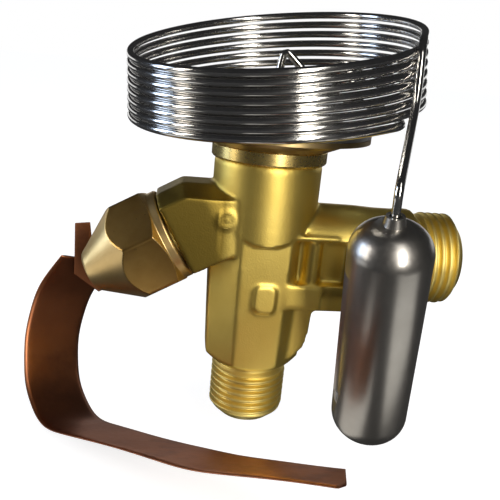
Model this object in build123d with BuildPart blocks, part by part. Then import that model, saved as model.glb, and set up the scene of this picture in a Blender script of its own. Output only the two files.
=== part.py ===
"""Angle-pattern refrigerant expansion valve with flare ends, power head, coiled capillary,
sensing bulb, seal cap and bulb strap.

Origin: where the vertical neck axis crosses the outlet axis. +Z up to the power head, +X to the outlet.
Millimetres.
"""

from build123d import *
import math
import os

os.makedirs("parts", exist_ok=True)

# ---------------------------------------------------------------- clearances
fit_gap = 0.05
seat_gap = 0.05
socket_gap = 0.02
loose_gap = 0.3

# ---------------------------------------------------------------- forged body
neck_r = 10.7
neck_bottom = 4.9
neck_top = 18.3
collar_r = 11.4
collar_top = 21.2
collar_groove = 0.45
column_top = 5.4
column_half_x = 10.8
column_half_y = 9.5
column_front_half = 4.9
column_side_half = 4.0
column_bottom = -22.6
column_taper = 2.2
shoulder_drop = 1.6
arm_r = 10.0
arm_end = 31.0
arm_waist_depth = 0.2
arm_edge = 0.5
block_half_y = 6.4
rib_half_y = 9.1
rib_thickness = 0.9
rib_reach = 14.0
ridge_x = 9.7
ridge_r = 1.6
arm_start = 8.0
pad_width = 4.1
pad_height = 5.6
pad_raise = 0.6
pad_x = 0.7
pad_z = -8.1
mark_x = -8.0
mark_z = 7.5
mark_r = 1.7
mark_raise = 0.3

# pocket forged in the front and back of the arm
pocket_x0 = 6.4
pocket_x1 = 16.8
pocket_z0 = -4.7
pocket_z1 = 4.3
pocket_floor_y = 6.5

# ---------------------------------------------------------------- flare ends
inlet_thread_r = 7.9375
inlet_thread_length = 11.2
inlet_relief_r = 7.0
inlet_relief_length = 0.9
inlet_nose_r = 7.0
inlet_nose_length = 1.9
inlet_bore_r = 4.6
outlet_thread_r = 9.525
outlet_thread_length = 8.2
outlet_relief_r = 8.5
outlet_relief_length = 0.9
outlet_nose_r = 8.6
outlet_nose_length = 1.5
outlet_bore_r = 5.3
thread_lead = 0.6

# ---------------------------------------------------------------- passages
spring_chamber_r = 7.6
chamber_floor = 4.6
outlet_chamber_r = 5.8
outlet_chamber_top = 2.9
outlet_chamber_bottom = -5.5
cartridge_shoulder = -9.0
throat_r = 3.2

# ---------------------------------------------------------------- slanted adjustment branch
branch_angle = 30.0
branch_height = 12.3
boss_rise = 9.0
boss_drop = 7.3
boss_half_y = 8.8
boss_length = 20.0
boss_top = 13.1
boss_roof_drop = 1.8
boss_roof_run = 5.4
spigot_r = 7.0
spigot_length = 8.5
gland_bore_r = 4.05
gland_bore_start = 12.0
pinion_pocket_r = 3.7
pinion_pocket_end = 9.4

# ---------------------------------------------------------------- bevel drive
gear_teeth = 16
pinion_teeth = 8
cone_outer = 8.8
cone_inner = 6.4
addendum = 0.55
dedendum = 0.75
tooth_share = 0.40
flank_angle = 22.0
hub_r = 3.2
hub_top = 16.6
bush_r = 2.0
bush_top = 17.6
circlip_r = 3.0
circlip_thickness = 0.5
rod_r = 0.95

# ---------------------------------------------------------------- spring seat, spring, pad
seat_bottom = 13.8
seat_thickness = 1.4
seat_r = 7.3
key_width = 2.0
key_depth = 0.9
spring_mean_r = 6.0
spring_wire = 1.0
spring_turns = 3.5
pad_flange_r = 9.5
pad_flange_top = 24.3
pad_flange_thickness = 0.9
pad_spigot_r = 6.9
pad_bottom = 21.9

# ---------------------------------------------------------------- power head
head_r = 19.3
head_sheet = 0.9
cup_r = 14.6
cup_step = 22.3
head_flange_bottom = 23.5
diaphragm_thickness = 0.2
upper_flange_thickness = 1.3
dome_r = 15.0
dome_top = 29.0
nipple_r = 1.9
nipple_height = 1.6

# ---------------------------------------------------------------- orifice cartridge
cartridge_length = 20.0
cartridge_wall = 1.2
seat_orifice_r = 1.35
seat_depth = 2.6
seat_land = 1.4
cone_r = 2.2
cone_height = 2.4
cone_stem_r = 1.1
cone_stem_length = 3.0
cone_lift = 0.6
cone_spring_turns = 4
cone_spring_wire = 0.5
cone_cup_thickness = 1.6
o_ring_section_r = 0.55
o_ring_z = -16.0
filter_wall = 0.35
filter_r = 3.7
filter_ring_height = 1.4

# ---------------------------------------------------------------- spindle, packing, gland, cap
spindle_r = 2.0
spindle_end = 30.4
spindle_collar_r = 3.6
spindle_collar_thickness = 1.6
spindle_slot_width = 0.9
spindle_slot_depth = 1.6
packing_length = 4.0
gland_length = 8.0
gland_slot_width = 1.6
gland_slot_depth = 1.4
gasket_thickness = 0.9
cap_flats = 19.0
cap_turned = 12.0
cap_start = 20.4
cap_collar_length = 1.7
cap_cone_start = 28.8
cap_end = 39.3
cap_end_r = 4.2
cap_rim_r = 9.3
cap_cavity_r = 5.6
cap_cavity_end = 34.0

# ---------------------------------------------------------------- capillary, bulb
capillary_d = 1.26
coil_bottom_r = 28.1
coil_top_r = 27.5
coil_bottom_centre = (0.8, 3.0)
coil_top_centre = (-0.5, 3.0)
coil_turns = 7.89
coil_bottom_z = 28.06
coil_turn_rise = 1.743
coil_bottom_tilt = (0.128, 0.092)
coil_top_tilt = (0.160, 0.174)
coil_start_angle = -60.0
coil_steps = 8
bulb_r = 7.1
bulb_length = 45.6
bulb_centre = (19.3, -24.6, -8.0)
bulb_lean = (-0.11, -0.25, 1.0)
bulb_end_r = 5.2
bulb_groove_r = 2.6
bulb_groove_depth = 1.1
bulb_groove_margin = 9.0

# ---------------------------------------------------------------- strap
strap_width = 15.0
strap_thickness = 0.5
strap_origin = (-44.4, 14.0, -32.9)
strap_across = (0.699, 0.659, -0.276)
strap_run = (0.686, -0.728, 0.0)
strap_top = (4.9, 24.4)
strap_heading = -122.8
strap_bends = [(7.8, 12, 31.2), (4.4, 14, 26.3), (5.0, 10, 32.4), (4.0, 8, 47.5), (35.0, 80, 6.5)]
strap_tail = 24.6
strap_reach = 79.0
strap_cut_slant = 4.0
strap_cut_margin = 16.0
tongue_height = 9.0
tongue_start = (-36.0, -11.4)
tongue_end_x = -13.0


def branch_section(distance):
    """Plane square to the slanted axis, this far out along it."""
    return Plane(origin=branch_origin + branch_dir * distance, x_dir=(0, 1, 0), z_dir=branch_dir)


branch_origin = Vector(0, 0, branch_height)
branch_dir = Vector(-math.cos(math.radians(branch_angle)), 0, -math.sin(math.radians(branch_angle)))
branch_up = Vector(branch_dir.Z, 0, -branch_dir.X)
branch_axis = Axis(branch_origin, branch_dir)
branch_plane = Plane(origin=branch_origin, x_dir=branch_dir, z_dir=(0, -1, 0))
inlet_thread_end = column_bottom - shoulder_drop - inlet_thread_length
inlet_end = inlet_thread_end - inlet_nose_length
outlet_thread_end = arm_end + outlet_thread_length
outlet_end = outlet_thread_end + outlet_nose_length
spigot_end = boss_length + spigot_length
cap_corner_r = cap_flats / math.sqrt(3)
arm_bevel = min(arm_edge, (arm_r - outlet_relief_r) / 2)


def branch_point(distance, rise):
    """Point in the middle plane, given along the slanted axis and square to it."""
    point = branch_origin + branch_dir * distance + branch_up * rise
    return (point.X, point.Z)


# ================================================================ valve body
boss_top_out = (branch_height + boss_rise * branch_up.Z - boss_top) / -branch_dir.Z
boss_outline = [
    (0, boss_top),
    branch_point(boss_top_out, boss_rise),
    branch_point(boss_length, boss_rise),
    branch_point(boss_length, -boss_drop),
    branch_point(boss_drop, -boss_drop),
    (0, 0),
]

with BuildPart() as valve_body:
    # slanted boss: flat front and back, bevelled along the top and the underside
    with BuildSketch(Plane.XZ):
        with BuildLine():
            Polyline(*boss_outline, close=True)
        make_face()
    extrude(amount=boss_half_y, both=True)
    for side in (0, -1):
        flank = valve_body.faces().filter_by(Axis.Y).sort_by(Axis.Y)[side]
        roof_edges = flank.edges().filter_by(lambda e: e.center().Z > boss_top - 3)
        chamfer(roof_edges, boss_roof_drop, boss_roof_run, reference=flank)

    # neck with the machined collar that carries the power head
    with BuildSketch(Plane.XZ):
        with BuildLine():
            Polyline(
                (0, neck_bottom),
                (neck_r, neck_bottom),
                (neck_r, neck_top - collar_groove),
                (neck_r - collar_groove, neck_top - collar_groove),
                (neck_r - collar_groove, neck_top),
                (collar_r - collar_groove, neck_top),
                (collar_r, neck_top + collar_groove),
                (collar_r, collar_top),
                (0, collar_top),
                close=True,
            )
        make_face()
    revolve(axis=Axis.Z)

    # tapering eight-sided column down to the inlet
    with BuildSketch(Plane.XY.offset(column_top)):
        with BuildLine():
            Polyline(
                (column_front_half, -column_half_y),
                (column_half_x, -column_side_half),
                (column_half_x, column_side_half),
                (column_front_half, column_half_y),
                (-column_front_half, column_half_y),
                (-column_half_x, column_side_half),
                (-column_half_x, -column_side_half),
                (-column_front_half, -column_half_y),
                close=True,
            )
        make_face()
    extrude(amount=column_bottom - shoulder_drop - column_top, taper=column_taper)

    # rounded gusset and block under the outlet arm
    with BuildSketch(Plane.XZ):
        with BuildLine():
            gusset = Polyline(
                (0, 0),
                (pocket_x1 + 2, 0),
                (pocket_x1 + 2, -arm_r + 0.4),
                (pocket_x1 + 1, -arm_r - 1),
                (column_half_x + 0.4, -arm_r - 1.2),
                (column_half_x, column_bottom + 6.6),
                (column_half_x - 0.6, column_bottom + 3.6),
                (inlet_thread_r, column_bottom + 0.6),
                (0, column_bottom + 0.6),
                close=True,
            )
        make_face()
    extrude(amount=block_half_y, both=True)
    with BuildSketch(Plane.XZ):
        with Locations((column_front_half + 3.6, (pocket_z0 - arm_r) / 2)):
            Rectangle(7.2, arm_r + pocket_z0)
    extrude(amount=rib_half_y, both=True)

    # thin rib over the pocket
    with BuildSketch(Plane.XZ):
        with Locations(((column_front_half + rib_reach) / 2, pocket_z1 + rib_thickness / 2)):
            Rectangle(rib_reach - column_front_half, rib_thickness)
    extrude(amount=rib_half_y, both=True)

    # outlet arm, slightly waisted before its thread
    with BuildSketch(Plane.XZ):
        with BuildLine():
            Polyline(
                (arm_start, 0),
                (arm_start, arm_r),
                (pocket_x1 + 2, arm_r),
                (pocket_x1 + 6, arm_r - arm_waist_depth),
                (arm_end - 4, arm_r - arm_waist_depth),
                (arm_end - 3, arm_r),
                (arm_end - arm_bevel, arm_r),
                (arm_end, arm_r - arm_bevel),
                (arm_end, outlet_relief_r),
                (arm_end + outlet_relief_length, outlet_relief_r),
                (arm_end + outlet_relief_length + thread_lead, outlet_thread_r),
                (outlet_thread_end - thread_lead, outlet_thread_r),
                (outlet_thread_end, outlet_thread_r - thread_lead),
                (outlet_thread_end, outlet_nose_r),
                (outlet_end, outlet_nose_r - outlet_nose_length),
                (outlet_end, 0),
                close=True,
            )
        make_face()
    revolve(axis=Axis.X)

    # pockets in the front and back of the arm
    with BuildSketch(Plane.XZ.offset(pocket_floor_y)):
        with Locations(((pocket_x0 + pocket_x1) / 2, (pocket_z0 + pocket_z1) / 2)):
            RectangleRounded(pocket_x1 - pocket_x0, pocket_z1 - pocket_z0, 1.2)
    extrude(amount=arm_r, mode=Mode.SUBTRACT)
    with BuildSketch(Plane.XZ.offset(-pocket_floor_y)):
        with Locations(((pocket_x0 + pocket_x1) / 2, (pocket_z0 + pocket_z1) / 2)):
            RectangleRounded(pocket_x1 - pocket_x0, pocket_z1 - pocket_z0, 1.2)
    extrude(amount=-arm_r, mode=Mode.SUBTRACT)

    # upright ridges left standing in the pockets
    with BuildSketch(Plane.XY.offset(pocket_z0)):
        with Locations((ridge_x, -pocket_floor_y - 0.4), (ridge_x, pocket_floor_y + 0.4)):
            Circle(ridge_r)
    extrude(amount=pocket_z1 - pocket_z0)

    # shoulder under the column, inlet thread blank and its 45 degree nose
    with BuildSketch(Plane.XZ):
        with BuildLine():
            Polyline(
                (inlet_thread_r + 0.4, column_bottom - shoulder_drop - 1),
                (inlet_thread_r + 0.4, column_bottom - shoulder_drop),
                (column_half_x + 2.4, column_bottom + 2.8),
                (column_half_x + 9, column_bottom + 2.8),
                (column_half_x + 9, column_bottom - shoulder_drop - 1),
                close=True,
            )
        make_face()
    revolve(axis=Axis.Z, mode=Mode.SUBTRACT)
    with BuildSketch(Plane.XZ):
        with BuildLine():
            Polyline(
                (0, column_bottom - shoulder_drop),
                (inlet_relief_r, column_bottom - shoulder_drop),
                (inlet_relief_r, column_bottom - shoulder_drop - inlet_relief_length),
                (inlet_thread_r, column_bottom - shoulder_drop - inlet_relief_length - thread_lead),
                (inlet_thread_r, inlet_thread_end + thread_lead),
                (inlet_thread_r - thread_lead, inlet_thread_end),
                (inlet_nose_r, inlet_thread_end),
                (inlet_nose_r - inlet_nose_length, inlet_end),
                (0, inlet_end),
                close=True,
            )
        make_face()
    revolve(axis=Axis.Z)

    # raised pad on the front of the column, and ring mark on the boss
    with BuildSketch(Plane.XZ.offset(column_half_y - 2)):
        with Locations((pad_x, pad_z)):
            RectangleRounded(pad_width, pad_height, 1.2)
    extrude(amount=2 + pad_raise - (neck_bottom - pad_z) * math.tan(math.radians(column_taper)))
    with BuildSketch(Plane.XZ.offset(boss_half_y)):
        with Locations((mark_x, mark_z)):
            Circle(mark_r)
            Circle(mark_r - 0.4, mode=Mode.SUBTRACT)
            Circle(mark_r / 4)
    extrude(amount=mark_raise)

    # threaded spigot for the seal cap
    with BuildSketch(branch_plane):
        with BuildLine():
            Polyline(
                (boss_length - 1, 0),
                (boss_length - 1, spigot_r - 0.8),
                (boss_length + 0.9, spigot_r - 0.8),
                (boss_length + 1.4, spigot_r),
                (spigot_end - 0.6, spigot_r),
                (spigot_end, spigot_r - 0.6),
                (spigot_end, 0),
                close=True,
            )
        make_face()
    revolve(axis=branch_axis)

    # spring chamber with the keyways that stop the spring seat turning
    with BuildSketch(Plane.XY.offset(collar_top)):
        Circle(spring_chamber_r)
        with PolarLocations(spring_chamber_r, 2, start_angle=90):
            Rectangle(2 * key_depth, key_width + 2 * fit_gap)
    extrude(amount=chamber_floor - collar_top, mode=Mode.SUBTRACT)

    # outlet chamber, outlet bore, bush seat, throat and inlet bore
    with BuildSketch(Plane.XY.offset(outlet_chamber_top)):
        Circle(outlet_chamber_r)
    extrude(amount=outlet_chamber_bottom - outlet_chamber_top, mode=Mode.SUBTRACT)
    with BuildSketch(Plane.YZ.offset(outlet_end)):
        Circle(outlet_bore_r)
    extrude(amount=-outlet_end, mode=Mode.SUBTRACT)
    with BuildSketch(Plane.XY.offset(chamber_floor)):
        Circle(bush_r)
    extrude(amount=outlet_chamber_top - chamber_floor, mode=Mode.SUBTRACT)
    with BuildSketch(Plane.XY.offset(outlet_chamber_bottom)):
        Circle(throat_r)
    extrude(amount=cartridge_shoulder - outlet_chamber_bottom, mode=Mode.SUBTRACT)
    with BuildSketch(Plane.XY.offset(cartridge_shoulder)):
        Circle(inlet_bore_r)
    extrude(amount=inlet_end - cartridge_shoulder, mode=Mode.SUBTRACT)

    # spindle bore, pinion pocket and gland bore along the slanted axis
    with BuildSketch(branch_section(pinion_pocket_end - 1)):
        Circle(spindle_r + fit_gap)
    extrude(amount=boss_length - pinion_pocket_end, mode=Mode.SUBTRACT)
    with BuildSketch(branch_section(cone_inner - 1.5)):
        Circle(pinion_pocket_r)
    extrude(amount=pinion_pocket_end - cone_inner + 1.5, mode=Mode.SUBTRACT)
    with BuildSketch(branch_section(gland_bore_start)):
        Circle(gland_bore_r)
    extrude(amount=spigot_end - gland_bore_start, mode=Mode.SUBTRACT)

valve_body.part.label = "valve_body"
export_step(valve_body.part, "parts/valve_body.step")

# ================================================================ power head
lower_flange_top = head_flange_bottom + head_sheet
diaphragm_top = lower_flange_top + diaphragm_thickness
upper_flange_top = diaphragm_top + upper_flange_thickness

with BuildPart() as power_head_lower_cup:
    with BuildSketch(Plane.XZ):
        with BuildLine():
            Polyline(
                (spring_chamber_r, collar_top),
                (collar_r + 0.4, collar_top),
                (cup_r - 0.3, cup_step),
                (cup_r, cup_step + 0.4),
                (cup_r + 0.6, head_flange_bottom),
                (head_r, head_flange_bottom),
                (head_r, lower_flange_top),
                (cup_r - 0.2, lower_flange_top),
                (cup_r - head_sheet - 0.4, cup_step + head_sheet),
                (collar_r, collar_top + head_sheet),
                (spring_chamber_r, collar_top + head_sheet),
                close=True,
            )
        make_face()
    revolve(axis=Axis.Z)
power_head_lower_cup.part.label = "power_head_lower_cup"
export_step(power_head_lower_cup.part, "parts/power_head_lower_cup.step")

with BuildPart() as power_head_upper_cup:
    with BuildSketch(Plane.XZ):
        with BuildLine():
            Polyline(
                (nipple_r - 0.6, dome_top),
                (dome_r - 6, dome_top - 0.8),
                (dome_r - 1, dome_top - 2.6),
                (dome_r + 1.6, upper_flange_top),
                (head_r, upper_flange_top),
                (head_r, diaphragm_top),
                (dome_r + 0.8, diaphragm_top),
                (dome_r - 1.6, dome_top - 2.6 - head_sheet),
                (dome_r - 6.2, dome_top - 0.8 - head_sheet),
                (nipple_r - 0.6, dome_top - head_sheet),
                close=True,
            )
        make_face()
    revolve(axis=Axis.Z)
    outer_rim = power_head_upper_cup.edges().filter_by(GeomType.CIRCLE).sort_by(Axis.Z)
    fillet(outer_rim.filter_by(lambda e: abs(e.radius - head_r) < 0.01 and e.center().Z > diaphragm_top + 0.1), 0.4)
power_head_upper_cup.part.label = "power_head_upper_cup"
export_step(power_head_upper_cup.part, "parts/power_head_upper_cup.step")

with BuildPart() as diaphragm:
    with BuildSketch(Plane.XY.offset(lower_flange_top)):
        Circle(head_r - 0.4)
    extrude(amount=diaphragm_thickness)
diaphragm.part.label = "diaphragm"
export_step(diaphragm.part, "parts/diaphragm.step")

with BuildPart() as head_nipple:
    with BuildSketch(Plane.XZ):
        with BuildLine():
            Polyline(
                (capillary_d / 2 + socket_gap, dome_top - head_sheet),
                (nipple_r - 0.6, dome_top - head_sheet),
                (nipple_r - 0.6, dome_top),
                (nipple_r, dome_top),
                (nipple_r - 0.5, dome_top + nipple_height),
                (capillary_d / 2 + socket_gap, dome_top + nipple_height),
                close=True,
            )
        make_face()
    revolve(axis=Axis.Z)
head_nipple.part.label = "head_nipple"
export_step(head_nipple.part, "parts/head_nipple.step")

# ================================================================ pad, rod, guide bush
cartridge_top = cartridge_shoulder - seat_gap
seat_face = cartridge_top - seat_depth - seat_land
cone_top = seat_face - seat_gap
cone_tip = cone_top + 0.9

with BuildPart() as thrust_pad:
    with BuildSketch(Plane.XZ):
        with BuildLine():
            Polyline(
                (0, pad_bottom),
                (pad_spigot_r, pad_bottom),
                (pad_spigot_r, pad_flange_top - pad_flange_thickness),
                (pad_flange_r, pad_flange_top - pad_flange_thickness),
                (pad_flange_r, pad_flange_top),
                (0, pad_flange_top),
                close=True,
            )
        make_face()
    revolve(axis=Axis.Z)
thrust_pad.part.label = "thrust_pad"
export_step(thrust_pad.part, "parts/thrust_pad.step")

with BuildPart() as push_rod:
    with BuildSketch(Plane.XY.offset(cone_tip)):
        Circle(rod_r)
    extrude(amount=pad_bottom - cone_tip)
push_rod.part.label = "push_rod"
export_step(push_rod.part, "parts/push_rod.step")

circlip_bottom = hub_top + seat_gap
with BuildPart() as guide_bush:
    with BuildSketch(Plane.XZ):
        with BuildLine():
            Polyline(
                (rod_r + fit_gap, outlet_chamber_top),
                (bush_r, outlet_chamber_top),
                (bush_r, circlip_bottom),
                (bush_r - 0.4, circlip_bottom),
                (bush_r - 0.4, circlip_bottom + circlip_thickness),
                (bush_r, circlip_bottom + circlip_thickness),
                (bush_r, bush_top),
                (rod_r + fit_gap, bush_top),
                close=True,
            )
        make_face()
    revolve(axis=Axis.Z)
guide_bush.part.label = "guide_bush"
export_step(guide_bush.part, "parts/guide_bush.step")

with BuildPart() as hub_circlip:
    with BuildSketch(Plane.XY.offset(circlip_bottom)):
        Circle(circlip_r)
        Circle(bush_r - 0.4, mode=Mode.SUBTRACT)
        with Locations((-circlip_r / 2 - bush_r / 2, 0)):
            Rectangle(circlip_r, 1.2, mode=Mode.SUBTRACT)
    extrude(amount=circlip_thickness)
hub_circlip.part.label = "hub_circlip"
export_step(hub_circlip.part, "parts/hub_circlip.step")

# ================================================================ bevel drive
shaft_angle = math.radians(90 - branch_angle)
gear_cone = math.atan2(math.sin(shaft_angle), pinion_teeth / gear_teeth + math.cos(shaft_angle))
pinion_cone = shaft_angle - gear_cone
tooth_pitch = 2 * math.pi * cone_outer * math.sin(gear_cone) / gear_teeth


def bevel_tooth(cone_angle):
    """One straight bevel tooth on +X, apex at the origin, axis along +Z, narrowing towards the apex."""
    slope = math.tan(math.radians(flank_angle))
    half = tooth_share * tooth_pitch / 2
    root = dedendum + 0.3
    direction = Vector(math.sin(cone_angle), 0, math.cos(cone_angle))
    with BuildPart() as tooth:
        for distance in (cone_inner, cone_outer):
            size = distance / cone_outer
            section = Plane(origin=direction * distance, x_dir=(0, 1, 0), z_dir=direction)
            side = 1 if section.y_dir.X > 0 else -1
            with BuildSketch(section):
                with BuildLine():
                    Polyline(
                        (-(half + root * slope) * size, -side * root * size),
                        ((half + root * slope) * size, -side * root * size),
                        ((half - addendum * slope) * size, side * addendum * size),
                        (-(half - addendum * slope) * size, side * addendum * size),
                        close=True,
                    )
                make_face()
        loft()
    return tooth.part


def bevel_blank(cone_angle):
    """Corner points (radius, distance along the axis) of the root cone between the tooth ends."""
    points = []
    for distance in (cone_inner, cone_outer):
        drop = dedendum * distance / cone_outer
        radius = distance * math.sin(cone_angle) - drop * math.cos(cone_angle)
        points.append((radius, distance * math.cos(cone_angle) + drop * math.sin(cone_angle)))
    return points


gear_inner, gear_outer = bevel_blank(gear_cone)
gear_floor = chamber_floor + seat_gap
gear_frame = Plane(origin=branch_origin, x_dir=(-1, 0, 0), z_dir=(0, 0, -1))
gear_tooth = bevel_tooth(gear_cone)

with BuildPart() as gear_hub:
    with BuildSketch(Plane.XZ):
        with BuildLine():
            Polyline(
                (bush_r + fit_gap, gear_floor),
                (gear_outer[0], gear_floor),
                (gear_outer[0], branch_height - gear_outer[1]),
                (gear_inner[0], branch_height - gear_inner[1]),
                (hub_r, branch_height - gear_inner[1]),
                (hub_r, hub_top),
                (bush_r + fit_gap, hub_top),
                close=True,
            )
        make_face()
    revolve(axis=Axis.Z)
    with Locations(gear_frame.location):
        with PolarLocations(0, gear_teeth, start_angle=180 / gear_teeth):
            add(gear_tooth)
    with BuildSketch(Plane.XY.offset(gear_floor)):
        Circle(bush_r + fit_gap)
    extrude(amount=hub_top - gear_floor, mode=Mode.SUBTRACT)
gear_hub.part.label = "gear_hub"
export_step(gear_hub.part, "parts/gear_hub.step")

pinion_inner, pinion_outer = bevel_blank(pinion_cone)
pinion_tooth = bevel_tooth(pinion_cone)
pinion_frame = Plane(origin=branch_origin, x_dir=-branch_up, z_dir=branch_dir)

with BuildPart() as bevel_pinion:
    with BuildSketch(branch_plane):
        with BuildLine():
            Polyline(
                (pinion_inner[1], spindle_r * 0.6),
                (pinion_inner[1], pinion_inner[0]),
                (pinion_outer[1], pinion_outer[0]),
                (pinion_outer[1] + 0.4, pinion_outer[0]),
                (pinion_outer[1] + 0.4, spindle_r * 0.6),
                close=True,
            )
        make_face()
    revolve(axis=branch_axis)
    with Locations(pinion_frame.location):
        with PolarLocations(0, pinion_teeth):
            add(pinion_tooth)
    with BuildSketch(branch_section(cone_inner / 2)):
        Circle(spindle_r * 0.6)
    extrude(amount=cone_outer, mode=Mode.SUBTRACT)
bevel_pinion.part.label = "bevel_pinion"
export_step(bevel_pinion.part, "parts/bevel_pinion.step")

# ================================================================ spring seat and springs
with BuildPart() as spring_seat:
    with BuildSketch(Plane.XY.offset(seat_bottom)):
        Circle(seat_r)
        with PolarLocations(seat_r, 2, start_angle=90):
            Rectangle(2 * (spring_chamber_r + key_depth - seat_r - 2 * fit_gap), key_width)
        Circle(hub_r + fit_gap, mode=Mode.SUBTRACT)
    extrude(amount=seat_thickness)
    with BuildSketch(Plane.XY.offset(seat_bottom + seat_thickness)):
        Circle(spring_mean_r - spring_wire)
        Circle(hub_r + fit_gap, mode=Mode.SUBTRACT)
    extrude(amount=0.6)
spring_seat.part.label = "spring_seat"
export_step(spring_seat.part, "parts/spring_seat.step")


def coil_spring(bottom, top, mean_r, wire, turns):
    """Compression spring of six-sided wire between two levels."""
    rise = top - bottom - wire
    with BuildPart() as spring:
        with BuildLine(Plane.XY.offset(bottom + wire / 2)) as path:
            Helix(pitch=rise / turns, height=rise, radius=mean_r)
        with BuildSketch(Plane(origin=path.line @ 0, z_dir=path.line % 0)):
            RegularPolygon(wire / 2, 6)
        sweep(path=path.line)
    return spring.part


spring_bottom = seat_bottom + seat_thickness + fit_gap
superheat_spring = coil_spring(spring_bottom, pad_bottom - fit_gap, spring_mean_r, spring_wire, spring_turns)
superheat_spring.label = "superheat_spring"
export_step(superheat_spring, "parts/superheat_spring.step")

# ================================================================ orifice cartridge
cartridge_r = inlet_bore_r - fit_gap
cartridge_bottom = cartridge_top - cartridge_length
cartridge_bore_r = cartridge_r - cartridge_wall

with BuildPart() as orifice_cartridge:
    with BuildSketch(Plane.XZ):
        with BuildLine():
            Polyline(
                (throat_r - 0.6, cartridge_top),
                (cartridge_r, cartridge_top),
                (cartridge_r, o_ring_z + o_ring_section_r + fit_gap),
                (cartridge_r - 2 * o_ring_section_r, o_ring_z + o_ring_section_r + fit_gap),
                (cartridge_r - 2 * o_ring_section_r, o_ring_z - o_ring_section_r - fit_gap),
                (cartridge_r, o_ring_z - o_ring_section_r - fit_gap),
                (cartridge_r, cartridge_bottom),
                (cartridge_bore_r, cartridge_bottom),
                (cartridge_bore_r, o_ring_z - o_ring_section_r - 1.2),
                (cone_r + 0.3, o_ring_z - o_ring_section_r - 0.6),
                (cone_r + 0.3, seat_face - 0.8),
                (seat_orifice_r, seat_face),
                (seat_orifice_r, seat_face + seat_land),
                close=True,
            )
        make_face()
    revolve(axis=Axis.Z)
orifice_cartridge.part.label = "orifice_cartridge"
export_step(orifice_cartridge.part, "parts/orifice_cartridge.step")

with BuildPart() as orifice_o_ring:
    with BuildSketch(Plane.XZ):
        with Locations((cartridge_r - o_ring_section_r, o_ring_z)):
            Circle(o_ring_section_r - 0.01)
    revolve(axis=Axis.Z)
orifice_o_ring.part.label = "orifice_o_ring"
export_step(orifice_o_ring.part, "parts/orifice_o_ring.step")

cone_shoulder = cone_top - cone_height
with BuildPart() as valve_cone:
    with BuildSketch(Plane.XZ):
        with BuildLine():
            Polyline(
                (0, cone_tip - seat_gap),
                (seat_orifice_r - 0.35, cone_tip - seat_gap),
                (seat_orifice_r - fit_gap, cone_top),
                (cone_r, cone_top - 1.1),
                (cone_r, cone_shoulder),
                (cone_stem_r, cone_shoulder),
                (cone_stem_r, cone_shoulder - cone_stem_length),
                (0, cone_shoulder - cone_stem_length),
                close=True,
            )
        make_face()
    revolve(axis=Axis.Z)
valve_cone.part.label = "valve_cone"
export_step(valve_cone.part, "parts/valve_cone.step")

cup_bottom = cartridge_bottom + 1.0
cup_top = cup_bottom + cone_cup_thickness
with BuildPart() as cone_spring_cup:
    with BuildSketch(Plane.XY.offset(cup_bottom)):
        Circle(cartridge_bore_r - fit_gap)
        Circle(0.8, mode=Mode.SUBTRACT)
        with PolarLocations(cartridge_bore_r * 0.62, 4):
            Circle(0.7, mode=Mode.SUBTRACT)
    extrude(amount=cone_cup_thickness)
cone_spring_cup.part.label = "cone_spring_cup"
export_step(cone_spring_cup.part, "parts/cone_spring_cup.step")

cone_spring = coil_spring(
    cup_top + fit_gap,
    cone_shoulder - fit_gap,
    cone_stem_r + cone_spring_wire,
    cone_spring_wire,
    cone_spring_turns,
)
cone_spring.label = "cone_spring"
export_step(cone_spring, "parts/cone_spring.step")

# ================================================================ inlet filter
filter_top = cartridge_bottom - seat_gap
with BuildPart() as filter_frame:
    with BuildSketch(Plane.XZ):
        with BuildLine():
            Polyline(
                (filter_r + fit_gap, filter_top),
                (cartridge_r, filter_top),
                (cartridge_r, filter_top - filter_ring_height),
                (filter_r + fit_gap, filter_top - filter_ring_height),
                close=True,
            )
        make_face()
    revolve(axis=Axis.Z)
    with BuildSketch(Plane.XY.offset(filter_top - filter_ring_height)):
        with PolarLocations((filter_r + cartridge_r) / 2, 4):
            Rectangle(cartridge_r - filter_r - 2 * fit_gap, 1.2)
    extrude(amount=inlet_end + 1.6 - filter_top + filter_ring_height)
    with BuildSketch(Plane.XY.offset(inlet_end + 1.6)):
        Circle(cartridge_r)
        Circle(filter_r - filter_wall - fit_gap, mode=Mode.SUBTRACT)
    extrude(amount=-1.0)
filter_frame.part.label = "filter_frame"
export_step(filter_frame.part, "parts/filter_frame.step")

with BuildPart() as filter_screen:
    with BuildSketch(Plane.XY.offset(inlet_end + 1.6 + seat_gap)):
        Circle(filter_r)
        Circle(filter_r - filter_wall, mode=Mode.SUBTRACT)
    extrude(amount=filter_top - inlet_end - 1.6 - 2 * seat_gap)
filter_screen.part.label = "filter_screen"
export_step(filter_screen.part, "parts/filter_screen.step")

# ================================================================ spindle, packing, gland nut
collar_start = gland_bore_start + seat_gap
with BuildPart() as setting_spindle:
    with BuildSketch(branch_plane):
        with BuildLine():
            Polyline(
                (pinion_inner[1], 0),
                (pinion_inner[1], spindle_r * 0.6),
                (pinion_outer[1] + 0.4, spindle_r * 0.6),
                (pinion_outer[1] + 0.4, spindle_r),
                (collar_start, spindle_r),
                (collar_start, spindle_collar_r),
                (collar_start + spindle_collar_thickness, spindle_collar_r),
                (collar_start + spindle_collar_thickness, spindle_r),
                (spindle_end - 0.4, spindle_r),
                (spindle_end, spindle_r - 0.4),
                (spindle_end, 0),
                close=True,
            )
        make_face()
    revolve(axis=branch_axis)
    with BuildSketch(branch_section(spindle_end)):
        Rectangle(2.2 * spindle_r, spindle_slot_width)
    extrude(amount=-spindle_slot_depth, mode=Mode.SUBTRACT)
setting_spindle.part.label = "setting_spindle"
export_step(setting_spindle.part, "parts/setting_spindle.step")

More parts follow.
